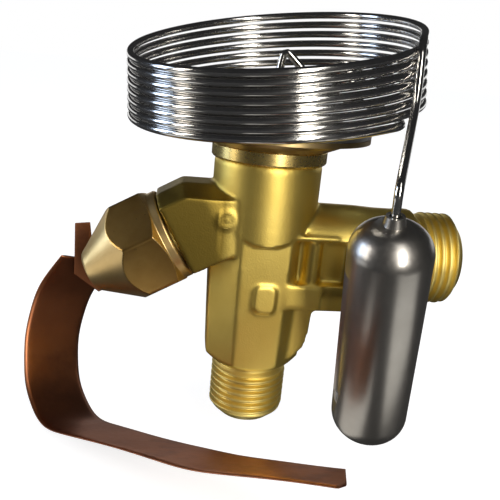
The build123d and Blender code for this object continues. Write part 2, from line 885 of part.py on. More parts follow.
packing_start = collar_start + spindle_collar_thickness + fit_gap
with BuildPart() as spindle_packing:
    with BuildSketch(branch_section(packing_start)):
        Circle(gland_bore_r - 0.02)
        Circle(spindle_r + 0.02, mode=Mode.SUBTRACT)
    extrude(amount=packing_length)
spindle_packing.part.label = "spindle_packing"
export_step(spindle_packing.part, "parts/spindle_packing.step")

gland_start = packing_start + packing_length + seat_gap
with BuildPart() as gland_nut:
    with BuildSketch(branch_section(gland_start)):
        Circle(gland_bore_r - 0.02)
        Circle(spindle_r + fit_gap, mode=Mode.SUBTRACT)
    extrude(amount=gland_length)
    with BuildSketch(branch_section(gland_start + gland_length)):
        Rectangle(3 * gland_bore_r, gland_slot_width)
    extrude(amount=-gland_slot_depth, mode=Mode.SUBTRACT)
gland_nut.part.label = "gland_nut"
export_step(gland_nut.part, "parts/gland_nut.step")

# ================================================================ seal cap and gasket
gasket_start = spigot_end + seat_gap
cap_shoulder = gasket_start + gasket_thickness
with BuildPart() as cap_gasket:
    with BuildSketch(branch_section(gasket_start)):
        Circle(spigot_r - 0.1)
        Circle(gland_bore_r + 0.3, mode=Mode.SUBTRACT)
    extrude(amount=gasket_thickness)
cap_gasket.part.label = "cap_gasket"
export_step(cap_gasket.part, "parts/cap_gasket.step")

with BuildPart() as seal_cap:
    with BuildSketch(branch_section(cap_start)):
        RegularPolygon(cap_flats / 2, 6, major_radius=False, rotation=cap_turned)
    extrude(amount=cap_end - cap_start)
    with BuildSketch(branch_plane):
        with BuildLine():
            Polyline(
                (cap_start, 0),
                (cap_start, cap_rim_r - 0.3),
                (cap_start + 0.3, cap_rim_r),
                (cap_start + cap_collar_length, cap_rim_r),
                (cap_start + cap_collar_length + 1.1, cap_corner_r + 0.1),
                (cap_cone_start, cap_corner_r + 0.1),
                (cap_end - 0.3, cap_end_r),
                (cap_end, cap_end_r - 0.3),
                (cap_end, 0),
                close=True,
            )
        make_face()
    revolve(axis=branch_axis, mode=Mode.INTERSECT)
    with BuildSketch(branch_section(cap_start)):
        Circle(spigot_r + fit_gap)
    extrude(amount=cap_shoulder - cap_start, mode=Mode.SUBTRACT)
    with BuildSketch(branch_section(cap_shoulder)):
        Circle(cap_cavity_r)
    extrude(amount=cap_cavity_end - cap_shoulder, mode=Mode.SUBTRACT)
seal_cap.part.label = "seal_cap"
export_step(seal_cap.part, "parts/seal_cap.step")


# ================================================================ capillary
def coil_point(turn):
    """Point of the coil after this many turns up from its start."""
    angle = math.radians(coil_start_angle - 360 * turn)
    share = turn / coil_turns
    tilt_x = coil_bottom_tilt[0] + (coil_top_tilt[0] - coil_bottom_tilt[0]) * share
    tilt_y = coil_bottom_tilt[1] + (coil_top_tilt[1] - coil_bottom_tilt[1]) * share
    radius = coil_bottom_r + (coil_top_r - coil_bottom_r) * share
    centre_x = coil_bottom_centre[0] + (coil_top_centre[0] - coil_bottom_centre[0]) * share
    centre_y = coil_bottom_centre[1] + (coil_top_centre[1] - coil_bottom_centre[1]) * share
    x = radius * math.cos(angle)
    y = radius * math.sin(angle)
    rise = coil_bottom_z + coil_turn_rise * turn + tilt_x * x + tilt_y * y
    return Vector(centre_x + x, centre_y + y, rise)


def coil_tangent(turn):
    """Direction of travel along the coil."""
    step = 0.001
    return (coil_point(turn + step) - coil_point(turn - step)).normalized()


bulb_axis = Vector(*bulb_lean).normalized()
bulb_top = Vector(*bulb_centre) + bulb_axis * (bulb_length / 2)
coil_in = coil_point(0) - coil_tangent(0) * 6
coil_out = coil_point(coil_turns) + coil_tangent(coil_turns) * 9
lead_bend = Vector(21.9, -17.2, 32.5)
lead_end = bulb_top + bulb_axis * (nipple_height / 2)

with BuildPart() as capillary_tube:
    with BuildLine() as capillary_path:
        FilletPolyline(
            (0, 0, dome_top - head_sheet),
            (0, 0, dome_top + 3.5),
            (0.9, 0, dome_top + 10.4),
            (8.8, -1.5, dome_top + 3.0),
            (20.0, -8.0, dome_top + 1.2),
            coil_in,
            coil_point(0),
            radius=[3, 1.2, 4, 5, 5],
        )
        direction = coil_tangent(0)
        steps = round(coil_turns * coil_steps)
        for step in range(steps):
            first = coil_point(coil_turns * step / steps)
            last = coil_point(coil_turns * (step + 1) / steps)
            run = TangentArc(first, last, tangent=direction)
            direction = run % 1
        FilletPolyline(
            coil_point(coil_turns),
            coil_out,
            lead_bend,
            bulb_top + bulb_axis * 6,
            lead_end,
            radius=[4, 15, 5],
        )
    with BuildSketch(Plane(origin=(0, 0, dome_top - head_sheet))):
        RegularPolygon(capillary_d / 2, 8)
    sweep(path=capillary_path.line)
capillary_tube.part.label = "capillary_tube"
export_step(capillary_tube.part, "parts/capillary_tube.step")

# ================================================================ sensing bulb
bulb_plane = Plane(origin=bulb_centre, x_dir=(1, 0, 0), z_dir=(0, -1, 0))
bulb_base = Plane(origin=bulb_centre, x_dir=Vector(1, 0, 0.11), z_dir=bulb_axis)
bulb_half_plane = Plane(origin=bulb_centre, x_dir=bulb_base.x_dir, z_dir=-bulb_base.y_dir)

with BuildPart() as sensing_bulb:
    with BuildSketch(bulb_half_plane):
        with BuildLine():
            flat_r = bulb_r - bulb_end_r
            top = bulb_length / 2
            low = -bulb_length / 2
            Line((0, low), (flat_r, low))
            CenterArc((flat_r, low + bulb_end_r), bulb_end_r, 270, 90)
            Line((bulb_r, low + bulb_end_r), (bulb_r, top - bulb_end_r))
            CenterArc((flat_r, top - bulb_end_r), bulb_end_r, 0, 90)
            Line((flat_r, top), (0, top))
            Line((0, top), (0, low))
        make_face()
    revolve(axis=Axis(Vector(*bulb_centre), bulb_axis))
    # pressed groove that lets the bulb sit on a pipe with two lines of contact
    with BuildSketch(bulb_base.offset(-bulb_length / 2 + bulb_groove_margin)):
        with Locations((-bulb_r - bulb_groove_r + bulb_groove_depth, 0)):
            Circle(bulb_groove_r)
    extrude(amount=bulb_length - 2 * bulb_groove_margin, mode=Mode.SUBTRACT)
sensing_bulb.part.label = "sensing_bulb"
export_step(sensing_bulb.part, "parts/sensing_bulb.step")

with BuildPart() as bulb_nipple:
    with BuildSketch(bulb_base.offset(bulb_length / 2)):
        Circle(nipple_r)
        Circle(capillary_d / 2 + socket_gap, mode=Mode.SUBTRACT)
    extrude(amount=nipple_height, taper=12)
bulb_nipple.part.label = "bulb_nipple"
export_step(bulb_nipple.part, "parts/bulb_nipple.step")

# ================================================================ strap
strap_out = Vector(*strap_run)
strap_side = Vector(*strap_across)
strap_plane = Plane(origin=strap_origin, x_dir=strap_out, z_dir=-strap_side)
tongue_inner_y = cap_corner_r + loose_gap + 0.1
tongue_end = (tongue_end_x, tongue_start[1] + (tongue_end_x - tongue_start[0]) * -math.tan(branch_dir.Z))
foot_depth = tongue_inner_y + strap_thickness - boss_half_y - loose_gap

with BuildPart() as bulb_strap:
    with BuildSketch(strap_plane):
        with BuildLine():
            reached = Vector(*strap_top)
            heading = strap_heading
            for straight, bend_r, bend in strap_bends:
                ahead = PolarLine(reached, straight, heading)
                curl = JernArc(ahead @ 1, ahead % 1, bend_r, bend)
                reached = curl @ 1
                heading += bend
            PolarLine(reached, strap_tail, heading)
        trace(line_width=strap_thickness)
    extrude(amount=strap_width / 2, both=True)
    # slanted cut at the free end
    with BuildSketch(Plane(origin=strap_origin, x_dir=strap_out, z_dir=strap_out.cross(strap_side))):
        with BuildLine():
            Polyline(
                (strap_reach - strap_cut_slant, strap_width / 2 + 1),
                (strap_reach + strap_cut_slant, -strap_width / 2 - 1),
                (strap_reach + strap_cut_margin, -strap_width / 2 - 1),
                (strap_reach + strap_cut_margin, strap_width / 2 + 1),
                close=True,
            )
        make_face()
    extrude(amount=40, both=True, mode=Mode.SUBTRACT)
    # tongue behind the cap, its upstanding lug and the foot that bears on the boss
    with BuildSketch(Plane.XZ.offset(-tongue_inner_y)):
        with BuildLine():
            Polyline(
                (tongue_start[0] - 3.0, tongue_start[1] - 0.6),
                (tongue_start[0] - 3.0, tongue_start[1] + 11.0),
                (tongue_start[0] + 0.2, tongue_start[1] + 11.4),
                (tongue_start[0] + 1.0, tongue_start[1] + tongue_height / 2),
                (tongue_end[0], tongue_end[1] + tongue_height / 2),
                (tongue_end[0], tongue_end[1] - tongue_height / 2),
                (tongue_start[0] + 2.4, tongue_start[1] - tongue_height / 2),
                close=True,
            )
        make_face()
    extrude(amount=-strap_thickness)
    with BuildSketch(Plane.XZ.offset(-tongue_inner_y - strap_thickness)):
        with Locations((tongue_end[0] - strap_thickness / 2, tongue_end[1])):
            Rectangle(strap_thickness, tongue_height)
    extrude(amount=foot_depth)
bulb_strap.part.label = "bulb_strap"
export_step(bulb_strap.part, "parts/bulb_strap.step")
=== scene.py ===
"""Looks for an angle refrigerant expansion valve: forged brass body, stainless power head,
coiled capillary, sensing bulb, brass seal cap and copper strap. Lengths are in metres."""

import math

import bmesh
import bpy
import numpy as np
from mathutils import Matrix, Vector


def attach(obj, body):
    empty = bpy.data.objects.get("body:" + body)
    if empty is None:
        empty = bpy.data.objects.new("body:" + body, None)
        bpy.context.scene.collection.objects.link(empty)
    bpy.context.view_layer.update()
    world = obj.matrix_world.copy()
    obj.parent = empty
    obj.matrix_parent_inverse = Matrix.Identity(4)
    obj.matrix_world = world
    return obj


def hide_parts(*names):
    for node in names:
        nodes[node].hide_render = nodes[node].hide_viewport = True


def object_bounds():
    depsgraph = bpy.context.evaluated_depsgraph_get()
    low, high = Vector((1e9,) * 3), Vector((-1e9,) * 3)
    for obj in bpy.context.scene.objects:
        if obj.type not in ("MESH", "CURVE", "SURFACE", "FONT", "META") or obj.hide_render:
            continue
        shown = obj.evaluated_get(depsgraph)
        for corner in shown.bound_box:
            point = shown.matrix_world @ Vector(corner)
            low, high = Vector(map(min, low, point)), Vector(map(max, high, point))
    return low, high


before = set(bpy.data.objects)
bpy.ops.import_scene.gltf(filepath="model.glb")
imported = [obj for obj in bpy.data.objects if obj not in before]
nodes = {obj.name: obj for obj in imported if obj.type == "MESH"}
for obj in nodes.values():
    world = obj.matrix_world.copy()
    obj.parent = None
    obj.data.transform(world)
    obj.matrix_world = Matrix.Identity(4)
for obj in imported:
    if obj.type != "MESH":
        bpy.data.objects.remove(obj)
cad_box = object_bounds()

# ---------------------------------------------------------------- camera
# The valve is seen from slightly above, from the side on which the bulb hangs. The camera
# stands 130 mm in front of it, rolled so that the valve's top leans to the right in view.
mm = 0.001
camera_place = Vector((-17.96, -127.31, 37.82)) * mm
camera_azimuth = math.radians(-7.14)
camera_elevation = math.radians(16.73)
camera_roll = math.radians(5.5)
camera_lens = 46.8

camera_back = Vector(
    (
        math.sin(camera_azimuth) * math.cos(camera_elevation),
        -math.cos(camera_azimuth) * math.cos(camera_elevation),
        math.sin(camera_elevation),
    )
)
level_right = (-camera_back).cross(Vector((0, 0, 1))).normalized()
level_up = level_right.cross(-camera_back)
camera_right = math.cos(camera_roll) * level_right + math.sin(camera_roll) * level_up
camera_up = math.cos(camera_roll) * level_up - math.sin(camera_roll) * level_right
camera_data = bpy.data.cameras.new("camera")
camera_data.lens = camera_lens
camera_data.sensor_width = 36
camera_data.sensor_fit = "HORIZONTAL"
camera_data.clip_start = 0.005
camera = bpy.data.objects.new("camera", camera_data)
bpy.context.scene.collection.objects.link(camera)
camera.matrix_world = Matrix(
    (
        (camera_right.x, camera_up.x, camera_back.x, camera_place.x),
        (camera_right.y, camera_up.y, camera_back.y, camera_place.y),
        (camera_right.z, camera_up.z, camera_back.z, camera_place.z),
        (0, 0, 0, 1),
    )
)
bpy.context.scene.camera = camera
bpy.context.scene.view_settings.view_transform = "Standard"

# ---------------------------------------------------------------- floor and studio
# A pale sweep under the valve that glows near white for the camera, and dark flags round it
# and overhead that give the bright metal something dark to show. The flags, the cloth and
# the cards are seen in reflections only.
floor_gap = 0.0002
floor_half = 3.0
floor_grey = 0.5
floor_glow_strength = 0.73
floor_mirrored_share = 0.45
cloth_height = 0.0001
cloth_hole = 0.002
cloth_radius = 1.05
cloth_sides = 48
card_height = 0.0002
flag_radius = 1.1
flag_centre_azimuth = math.radians(-98)
flag_half_azimuth = math.radians(125)
flag_low = math.radians(-4)
flag_rear_low = math.radians(9)
flag_high = math.radians(90)
world_fill_strength = 0.55


def surface_mesh(name, points, close_u=False, close_v=False):
    """Mesh of quads over a grid of points, shape (rows, columns, 3). A closed direction joins
    its last line back to its first."""
    rows, columns = points.shape[:2]
    u_steps = rows if close_u else rows - 1
    v_steps = columns if close_v else columns - 1
    row, column = np.meshgrid(np.arange(u_steps), np.arange(v_steps), indexing="ij")
    next_row = (row + 1) % rows
    next_column = (column + 1) % columns
    quads = np.stack(
        (
            row * columns + column,
            row * columns + next_column,
            next_row * columns + next_column,
            next_row * columns + column,
        ),
        axis=-1,
    ).reshape(-1, 4)
    mesh = bpy.data.meshes.new(name)
    mesh.from_pydata(points.reshape(-1, 3).tolist(), [], quads.tolist())
    mesh.update()
    return mesh


def add_piece(name, mesh, smooth=True):
    """Object at the origin that holds the mesh."""
    piece = bpy.data.objects.new(name, mesh)
    bpy.context.scene.collection.objects.link(piece)
    if smooth:
        mesh.shade_smooth()
    return piece


def only_reflected(piece, material):
    """Gives a studio piece its material and leaves it to be seen in reflections only."""
    piece.data.materials.append(material)
    piece.visible_camera = False
    piece.visible_diffuse = False
    piece.visible_shadow = False
    piece.visible_transmission = False


def maths(tree, operation, first, second):
    """Output of a maths node with two inputs, each of them a socket or a number."""
    node = tree.nodes.new("ShaderNodeMath")
    node.operation = operation
    for socket, value in zip(node.inputs, (first, second)):
        if isinstance(value, float):
            socket.default_value = value
        else:
            tree.links.new(value, socket)
    return node.outputs[0]


lowest = min(corner[2] for corner in cad_box)
floor_z = lowest - floor_gap
floor_grid = np.array(
    [
        [(-floor_half, -floor_half, floor_z), (floor_half, -floor_half, floor_z)],
        [(-floor_half, floor_half, floor_z), (floor_half, floor_half, floor_z)],
    ]
)
floor = add_piece("floor", surface_mesh("floor", floor_grid), smooth=False)
floor_material = bpy.data.materials.new("pale_sweep")
floor_material.use_nodes = True
tree = floor_material.node_tree
tree.nodes.clear()
floor_out = tree.nodes.new("ShaderNodeOutputMaterial")
floor_add = tree.nodes.new("ShaderNodeAddShader")
floor_paint = tree.nodes.new("ShaderNodeBsdfDiffuse")
floor_glow = tree.nodes.new("ShaderNodeEmission")
floor_rays = tree.nodes.new("ShaderNodeLightPath").outputs
floor_paint.inputs["Color"].default_value = (floor_grey, floor_grey, floor_grey, 1)
floor_glow.inputs["Color"].default_value = (1, 1, 1, 1)
floor_seen = maths(
    tree, "MAXIMUM", floor_rays["Is Camera Ray"], floor_rays["Is Transmission Ray"]
)
floor_mirrored = maths(tree, "MULTIPLY", floor_rays["Is Glossy Ray"], floor_mirrored_share)
floor_most = maths(tree, "MAXIMUM", floor_seen, floor_mirrored)
floor_strength = maths(tree, "MULTIPLY", floor_most, floor_glow_strength)
tree.links.new(floor_strength, floor_glow.inputs["Strength"])
tree.links.new(floor_paint.outputs[0], floor_add.inputs[0])
tree.links.new(floor_glow.outputs[0], floor_add.inputs[1])
tree.links.new(floor_add.outputs[0], floor_out.inputs["Surface"])
floor.data.materials.append(floor_material)

flag_material = bpy.data.materials.new("flag_cloth")
flag_material.use_nodes = True
flag_shader = flag_material.node_tree.nodes["Principled BSDF"]
flag_shader.inputs["Base Color"].default_value = (0.02, 0.02, 0.02, 1)
flag_shader.inputs["Roughness"].default_value = 1.0
flag_shader.inputs["Emission Color"].default_value = (0.012, 0.012, 0.013, 1)
flag_shader.inputs["Emission Strength"].default_value = 1.0
flag_patches = {
    "dark_flags": (flag_centre_azimuth, flag_half_azimuth, flag_low),
    "rear_flags": (flag_centre_azimuth + math.pi, math.pi - flag_half_azimuth, flag_rear_low),
}
for name, (centre, half, low) in flag_patches.items():
    flag_azimuth, flag_elevation = np.meshgrid(
        centre + np.linspace(-1, 1, 49) * half,
        np.linspace(low, flag_high, 25),
        indexing="ij",
    )
    flag_grid = flag_radius * np.stack(
        (
            np.cos(flag_azimuth) * np.cos(flag_elevation),
            np.sin(flag_azimuth) * np.cos(flag_elevation),
            np.sin(flag_elevation),
        ),
        axis=-1,
    )
    flag = add_piece(name, surface_mesh(name, flag_grid))
    only_reflected(flag, flag_material)

# A dark cloth lies round the foot of the valve for its reflections too.
cloth_ring = np.linspace(0, 2 * np.pi, cloth_sides, endpoint=False)
cloth_r = np.array((cloth_hole, cloth_radius))[:, None]
cloth_level = 0 * cloth_r * cloth_ring + floor_z + cloth_height
cloth_x = cloth_r * np.cos(cloth_ring)
cloth_y = cloth_r * np.sin(cloth_ring)
cloth_grid = np.stack((cloth_x, cloth_y, cloth_level), axis=-1)
cloth = add_piece("dark_cloth", surface_mesh("dark_cloth", cloth_grid, close_v=True))
only_reflected(cloth, flag_material)

# White cards that glow, though they are no lamps, lie close in on the floor, seen in reflections
# only, where they put painted highlights on the metal: one by the bulb for its right side, one
# under the inlet, and one to the left for the facets of the column.
card_glow_strength = 0.55
card_material = bpy.data.materials.new("card_glowing_white")
card_material.use_nodes = True
card_shader = card_material.node_tree.nodes["Principled BSDF"]
card_shader.inputs["Base Color"].default_value = (0.25, 0.25, 0.24, 1)
card_shader.inputs["Emission Color"].default_value = (1.0, 0.97, 0.9, 1)
card_shader.inputs["Emission Strength"].default_value = card_glow_strength
card_corners = {
    "card_by_bulb": [[(36, -92), (112, -76)], [(33, -42), (90, -34)]],
    "card_at_inlet": [[(-24, -56), (12, -50)], [(-22, -12), (12, -12)]],
    "card_left": [[(-170, -60), (-90, -54)], [(-170, 30), (-84, 20)]],
}
for name, corners in card_corners.items():
    flat = np.array(corners, float) * mm
    card_grid = np.concatenate((flat, np.full((2, 2, 1), floor_z + card_height)), axis=-1)
    card = add_piece(name, surface_mesh(name, card_grid), smooth=False)
    only_reflected(card, card_material)

world = bpy.data.worlds.new("studio")
bpy.context.scene.world = world
world.use_nodes = True
tree = world.node_tree
tree.nodes.clear()
world_out = tree.nodes.new("ShaderNodeOutputWorld")
world_mix = tree.nodes.new("ShaderNodeMixShader")
world_fill = tree.nodes.new("ShaderNodeBackground")
world_white = tree.nodes.new("ShaderNodeBackground")
world_rays = tree.nodes.new("ShaderNodeLightPath").outputs
world_fill.inputs["Color"].default_value = (0.95, 0.97, 1.0, 1)
world_fill.inputs["Strength"].default_value = world_fill_strength
world_white.inputs["Color"].default_value = (1, 1, 1, 1)
world_white.inputs["Strength"].default_value = 1.0
world_first = maths(tree, "MAXIMUM", world_rays["Is Camera Ray"], world_rays["Is Glossy Ray"])
world_seen = maths(tree, "MAXIMUM", world_first, world_rays["Is Transmission Ray"])
tree.links.new(world_seen, world_mix.inputs["Fac"])
tree.links.new(world_fill.outputs[0], world_mix.inputs[1])
tree.links.new(world_white.outputs[0], world_mix.inputs[2])
tree.links.new(world_mix.outputs[0], world_out.inputs["Surface"])

# ---------------------------------------------------------------- lamps
# A tall warm strip right of the camera with a weaker one high above it, and a cool tall
# strip and a warm one on the left. Each is turned to the middle of the valve.
lamp_aim = Vector((0, 0, 0.005))
lamps = {  # place, width, height, colour, power
    "right_strip": ((0.128, -0.483, 0.16), 0.085, 0.42, (1.0, 0.955, 0.88), 2.1),
    "right_high": ((0.115, -0.350, 0.46), 0.14, 0.24, (1.0, 0.97, 0.92), 0.35),
    "left_cool": ((-0.494, 0.070, 0.10), 0.12, 0.36, (0.62, 0.76, 1.0), 0.8),
    "left_warm": ((-0.486, -0.092, 0.12), 0.075, 0.36, (1.0, 0.94, 0.86), 0.55),
}
for lamp_name, (place, width, height, colour, power) in lamps.items():
    lamp_data = bpy.data.lights.new(lamp_name, "AREA")
    lamp_data.shape = "RECTANGLE"
    lamp_data.size = width
    lamp_data.size_y = height
    lamp_data.color = colour
    lamp_data.energy = power
    lamp = bpy.data.objects.new(lamp_name, lamp_data)
    bpy.context.scene.collection.objects.link(lamp)
    lamp.location = place
    lamp.rotation_euler = (lamp_aim - Vector(place)).to_track_quat("-Z", "Y").to_euler()

# ---------------------------------------------------------------- forged brass body
# Hot forged in one piece, trimmed and blasted with fine shot, which leaves soft edges and a
# matt yellow grain. The ends, the collar and the spigot are then turned, so the copy of the
# solid is drawn in under those zones and they come as pieces of their own.
forging_voxel = 0.40 * mm
forging_soften = 5
inlet_root_r = 7.05 * mm
inlet_shoulder_z = -24.2 * mm
outlet_root_r = 8.55 * mm
outlet_shoulder_x = 31.0 * mm
drawn_in = 0.35 * mm
shoulder_margin = 0.01 * mm
outlet_margin = 0.3 * mm
collar_margin = 0.05 * mm
spigot_margin = 0.05 * mm
collar_r = 11.4 * mm
neck_top = 18.3 * mm
branch_angle = math.radians(30)
branch_origin = np.array((0, 0, 12.3)) * mm
branch_dir = np.array((-math.cos(branch_angle), 0, -math.sin(branch_angle)))
branch_up = np.array((branch_dir[2], 0, -branch_dir[0]))
branch_side = np.array((0.0, 1.0, 0.0))
boss_length = 20.0 * mm
spigot_r = 7.0 * mm


def metal(
    name, light, dark, roughness, spread, patch, grain, bump, depth, stain=None, painted_shade=None
):
    """Metal whose colour drifts between light and dark over patches of the given scale, whose
    roughness varies by spread about its middle value, and whose surface has a fine grain.
    stain is (colour, share, scale) of a duller film that lies on it in cloudy places, and
    painted_shade is (attribute, colour) of painted shade, a darker colour laid where the mesh
    attribute says."""
    material = bpy.data.materials.new(name)
    material.use_nodes = True
    tree = material.node_tree
    shader = tree.nodes["Principled BSDF"]
    shader.inputs["Metallic"].default_value = 1.0
    place = tree.nodes.new("ShaderNodeTexCoord")
    drift = tree.nodes.new("ShaderNodeTexNoise")
    drift.inputs["Scale"].default_value = patch
    drift.inputs["Detail"].default_value = 4
    drift.inputs["Roughness"].default_value = 0.6
    tint = tree.nodes.new("ShaderNodeMix")
    tint.data_type = "RGBA"
    tint.inputs["A"].default_value = dark
    tint.inputs["B"].default_value = light
    tree.links.new(place.outputs["Object"], drift.inputs["Vector"])
    contrast = tree.nodes.new("ShaderNodeMapRange")
    contrast.inputs["From Min"].default_value = 0.3
    contrast.inputs["From Max"].default_value = 0.7
    tree.links.new(drift.outputs["Fac"], contrast.inputs["Value"])
    tree.links.new(contrast.outputs["Result"], tint.inputs["Factor"])
    colour = tint.outputs["Result"]
    if stain is not None:
        stain_colour, stain_share, stain_scale = stain
        cloud = tree.nodes.new("ShaderNodeTexNoise")
        cloud.inputs["Scale"].default_value = stain_scale
        cloud.inputs["Detail"].default_value = 6
        cloud.inputs["Roughness"].default_value = 0.65
        edge = tree.nodes.new("ShaderNodeMapRange")
        cover = stain_share * 0.3
        edge.inputs["From Min"].default_value = 0.62 - cover
        edge.inputs["From Max"].default_value = 0.78 - cover
        film = tree.nodes.new("ShaderNodeMix")
        film.data_type = "RGBA"
        film.inputs["B"].default_value = stain_colour
        tree.links.new(place.outputs["Object"], cloud.inputs["Vector"])
        tree.links.new(cloud.outputs["Fac"], edge.inputs["Value"])
        tree.links.new(edge.outputs["Result"], film.inputs["Factor"])
        tree.links.new(colour, film.inputs["A"])
        colour = film.outputs["Result"]
    # Painted shade: a darker colour laid over the base where the mesh attribute says.
    if painted_shade is not None:
        share = tree.nodes.new("ShaderNodeAttribute")
        share.attribute_name = painted_shade[0]
        over = tree.nodes.new("ShaderNodeMix")
        over.data_type = "RGBA"
        over.inputs["B"].default_value = painted_shade[1]
        tree.links.new(share.outputs["Fac"], over.inputs["Factor"])
        tree.links.new(colour, over.inputs["A"])
        colour = over.outputs["Result"]
    tree.links.new(colour, shader.inputs["Base Color"])
    fine = tree.nodes.new("ShaderNodeTexNoise")
    fine.inputs["Scale"].default_value = grain
    fine.inputs["Detail"].default_value = 3
    tree.links.new(place.outputs["Object"], fine.inputs["Vector"])
    rough = tree.nodes.new("ShaderNodeMapRange")
    rough.inputs["To Min"].default_value = roughness - spread
    rough.inputs["To Max"].default_value = roughness + spread
    tree.links.new(fine.outputs["Fac"], rough.inputs["Value"])
    tree.links.new(rough.outputs["Result"], shader.inputs["Roughness"])
    relief = tree.nodes.new("ShaderNodeBump")
    relief.inputs["Strength"].default_value = bump
    relief.inputs["Distance"].default_value = depth
    tree.links.new(fine.outputs["Fac"], relief.inputs["Height"])
    tree.links.new(relief.outputs["Normal"], shader.inputs["Normal"])
    return material


def merged_copy(name, node):
    """Copy of a CAD node's mesh with its triangles joined where their corners meet."""
    shape = bmesh.new()
    shape.from_mesh(nodes[node].data)
    bmesh.ops.remove_doubles(shape, verts=shape.verts, dist=1e-6)
    mesh = bpy.data.meshes.new(name)
    shape.to_mesh(mesh)
    shape.free()
    return add_piece(name, mesh)


def limit_radius(points, axis, inside, most):
    """Draws the points for which inside is true in towards the axis (0, 1 or 2 for X, Y, Z)
    so that none is further from it than most."""
    across = [k for k in range(3) if k != axis]
    radius = np.hypot(points[:, across[0]], points[:, across[1]])
    factor = np.where(inside & (radius > most), most / np.maximum(radius, 1e-9), 1.0)
    points[:, across] *= factor[:, None]


def ramp(value, start, length):
    """Share of the way from start to start + length: 0 before it and 1 beyond it. A negative
    length runs the other way."""
    return np.clip((value - start) / length, 0, 1)


body_blasted = metal(
    "brass_forged_blasted",
    light=(0.90, 0.69, 0.18, 1),
    dark=(0.81, 0.60, 0.14, 1),
    roughness=0.43,
    spread=0.05,
    patch=90,
    grain=3200,
    bump=0.22,
    depth=0.00012,
    # painted shade colour for the boss and the shelf under the outlet arm
    painted_shade=("painted_shade_amount", (0.25, 0.175, 0.032, 1)),
)
forging = merged_copy("body_forging", "valve_body")
corners = np.empty(len(forging.data.vertices) * 3)
forging.data.vertices.foreach_get("co", corners)
corners = corners.reshape(-1, 3)
in_inlet = corners[:, 2] < inlet_shoulder_z - shoulder_margin
in_outlet = corners[:, 0] > outlet_shoulder_x + outlet_margin
in_collar = corners[:, 2] > neck_top - collar_margin
limit_radius(corners, 2, in_inlet, inlet_root_r - drawn_in)
limit_radius(corners, 0, in_outlet, outlet_root_r - drawn_in)
limit_radius(corners, 2, in_collar, collar_r - 3 * drawn_in)
out_along_branch = (corners - branch_origin) @ branch_dir
out_sideways = (corners - branch_origin) @ branch_side
out_upward = (corners - branch_origin) @ branch_up
out_r = np.hypot(out_sideways, out_upward)
on_spigot = (out_along_branch > boss_length + shoulder_margin) & (out_r > spigot_r - drawn_in)
on_spigot &= out_r < spigot_r + spigot_margin
spigot_factor = np.where(on_spigot, (spigot_r - drawn_in) / np.maximum(out_r, 1e-9), 1.0)
corners = (
    branch_origin
    + out_along_branch[:, None] * branch_dir
    + (out_sideways * spigot_factor)[:, None] * branch_side
    + (out_upward * spigot_factor)[:, None] * branch_up
)
forging.data.vertices.foreach_set("co", corners.ravel())
forging.data.update()
remesh = forging.modifiers.new("forged_skin", "REMESH")
remesh.mode = "VOXEL"
remesh.voxel_size = forging_voxel
remesh.use_smooth_shade = True
soften = forging.modifiers.new("blasted_edges", "SMOOTH")
soften.factor = 0.5
soften.iterations = forging_soften
graph = bpy.context.evaluated_depsgraph_get()
skin = bpy.data.meshes.new_from_object(forging.evaluated_get(graph))
forging.modifiers.clear()
forging.data = skin

# The neck runs on down into the column's front and back faces and ends there in an arc.
neck_r = 10.7 * mm
arc_half = 5.3 * mm
arc_top = 5.3 * mm
arc_drop = 2.7 * mm
arc_edge = 0.35 * mm
arc_reach = 1 * mm
column_face_y = 8.9 * mm
skin_points = np.empty(len(skin.vertices) * 3)
skin.vertices.foreach_get("co", skin_points)
skin_points = skin_points.reshape(-1, 3)
skin_x = skin_points[:, 0]
skin_y = skin_points[:, 1]
skin_z = skin_points[:, 2]
neck_surface = np.sqrt(np.maximum(neck_r**2 - skin_x**2, 0))
arc_z = arc_top - arc_drop * np.sqrt(np.maximum(1 - (skin_x / arc_half) ** 2, 0))
above_arc = ramp(skin_z, arc_z, arc_edge)
near_arc = (np.abs(skin_x) < arc_half) & (np.abs(skin_y) > column_face_y)
near_arc &= (skin_z > 0) & (skin_z < arc_top + arc_reach)
new_y = np.abs(skin_y) + (neck_surface - np.abs(skin_y)) * above_arc
new_y = np.sign(skin_y) * np.maximum(new_y, np.abs(skin_y))
skin_points[:, 1] = np.where(near_arc, new_y, skin_y)

# The slanted boss draws in a little towards the cap, as the die lets it go.
boss_draft = math.tan(math.radians(4.0))
boss_start = 8.5 * mm
boss_middle = 14.0 * mm
boss_fade = 3 * mm
boss_root_x = -9.0 * mm
boss_floor = -8.3 * mm
boss_end_gap = 0.4 * mm
boss_end_fade = 0.2 * mm
boss_core_y = 6 * mm
boss_core_fade = 2 * mm
along_boss = (skin_points - branch_origin) @ branch_dir
above_boss = (skin_points - branch_origin) @ branch_up
on_boss = ramp(along_boss, boss_start, boss_fade)
on_boss = on_boss * ramp(along_boss, boss_length + boss_end_gap, -boss_end_fade)
on_boss = on_boss * ramp(np.abs(skin_y), boss_core_y, boss_core_fade)
on_boss = on_boss * (skin_x < boss_root_x) * (above_boss > boss_floor)
skin_points[:, 1] -= np.sign(skin_y) * on_boss * (along_boss - boss_middle) * boss_draft
skin.vertices.foreach_set("co", skin_points.ravel())
skin.update()
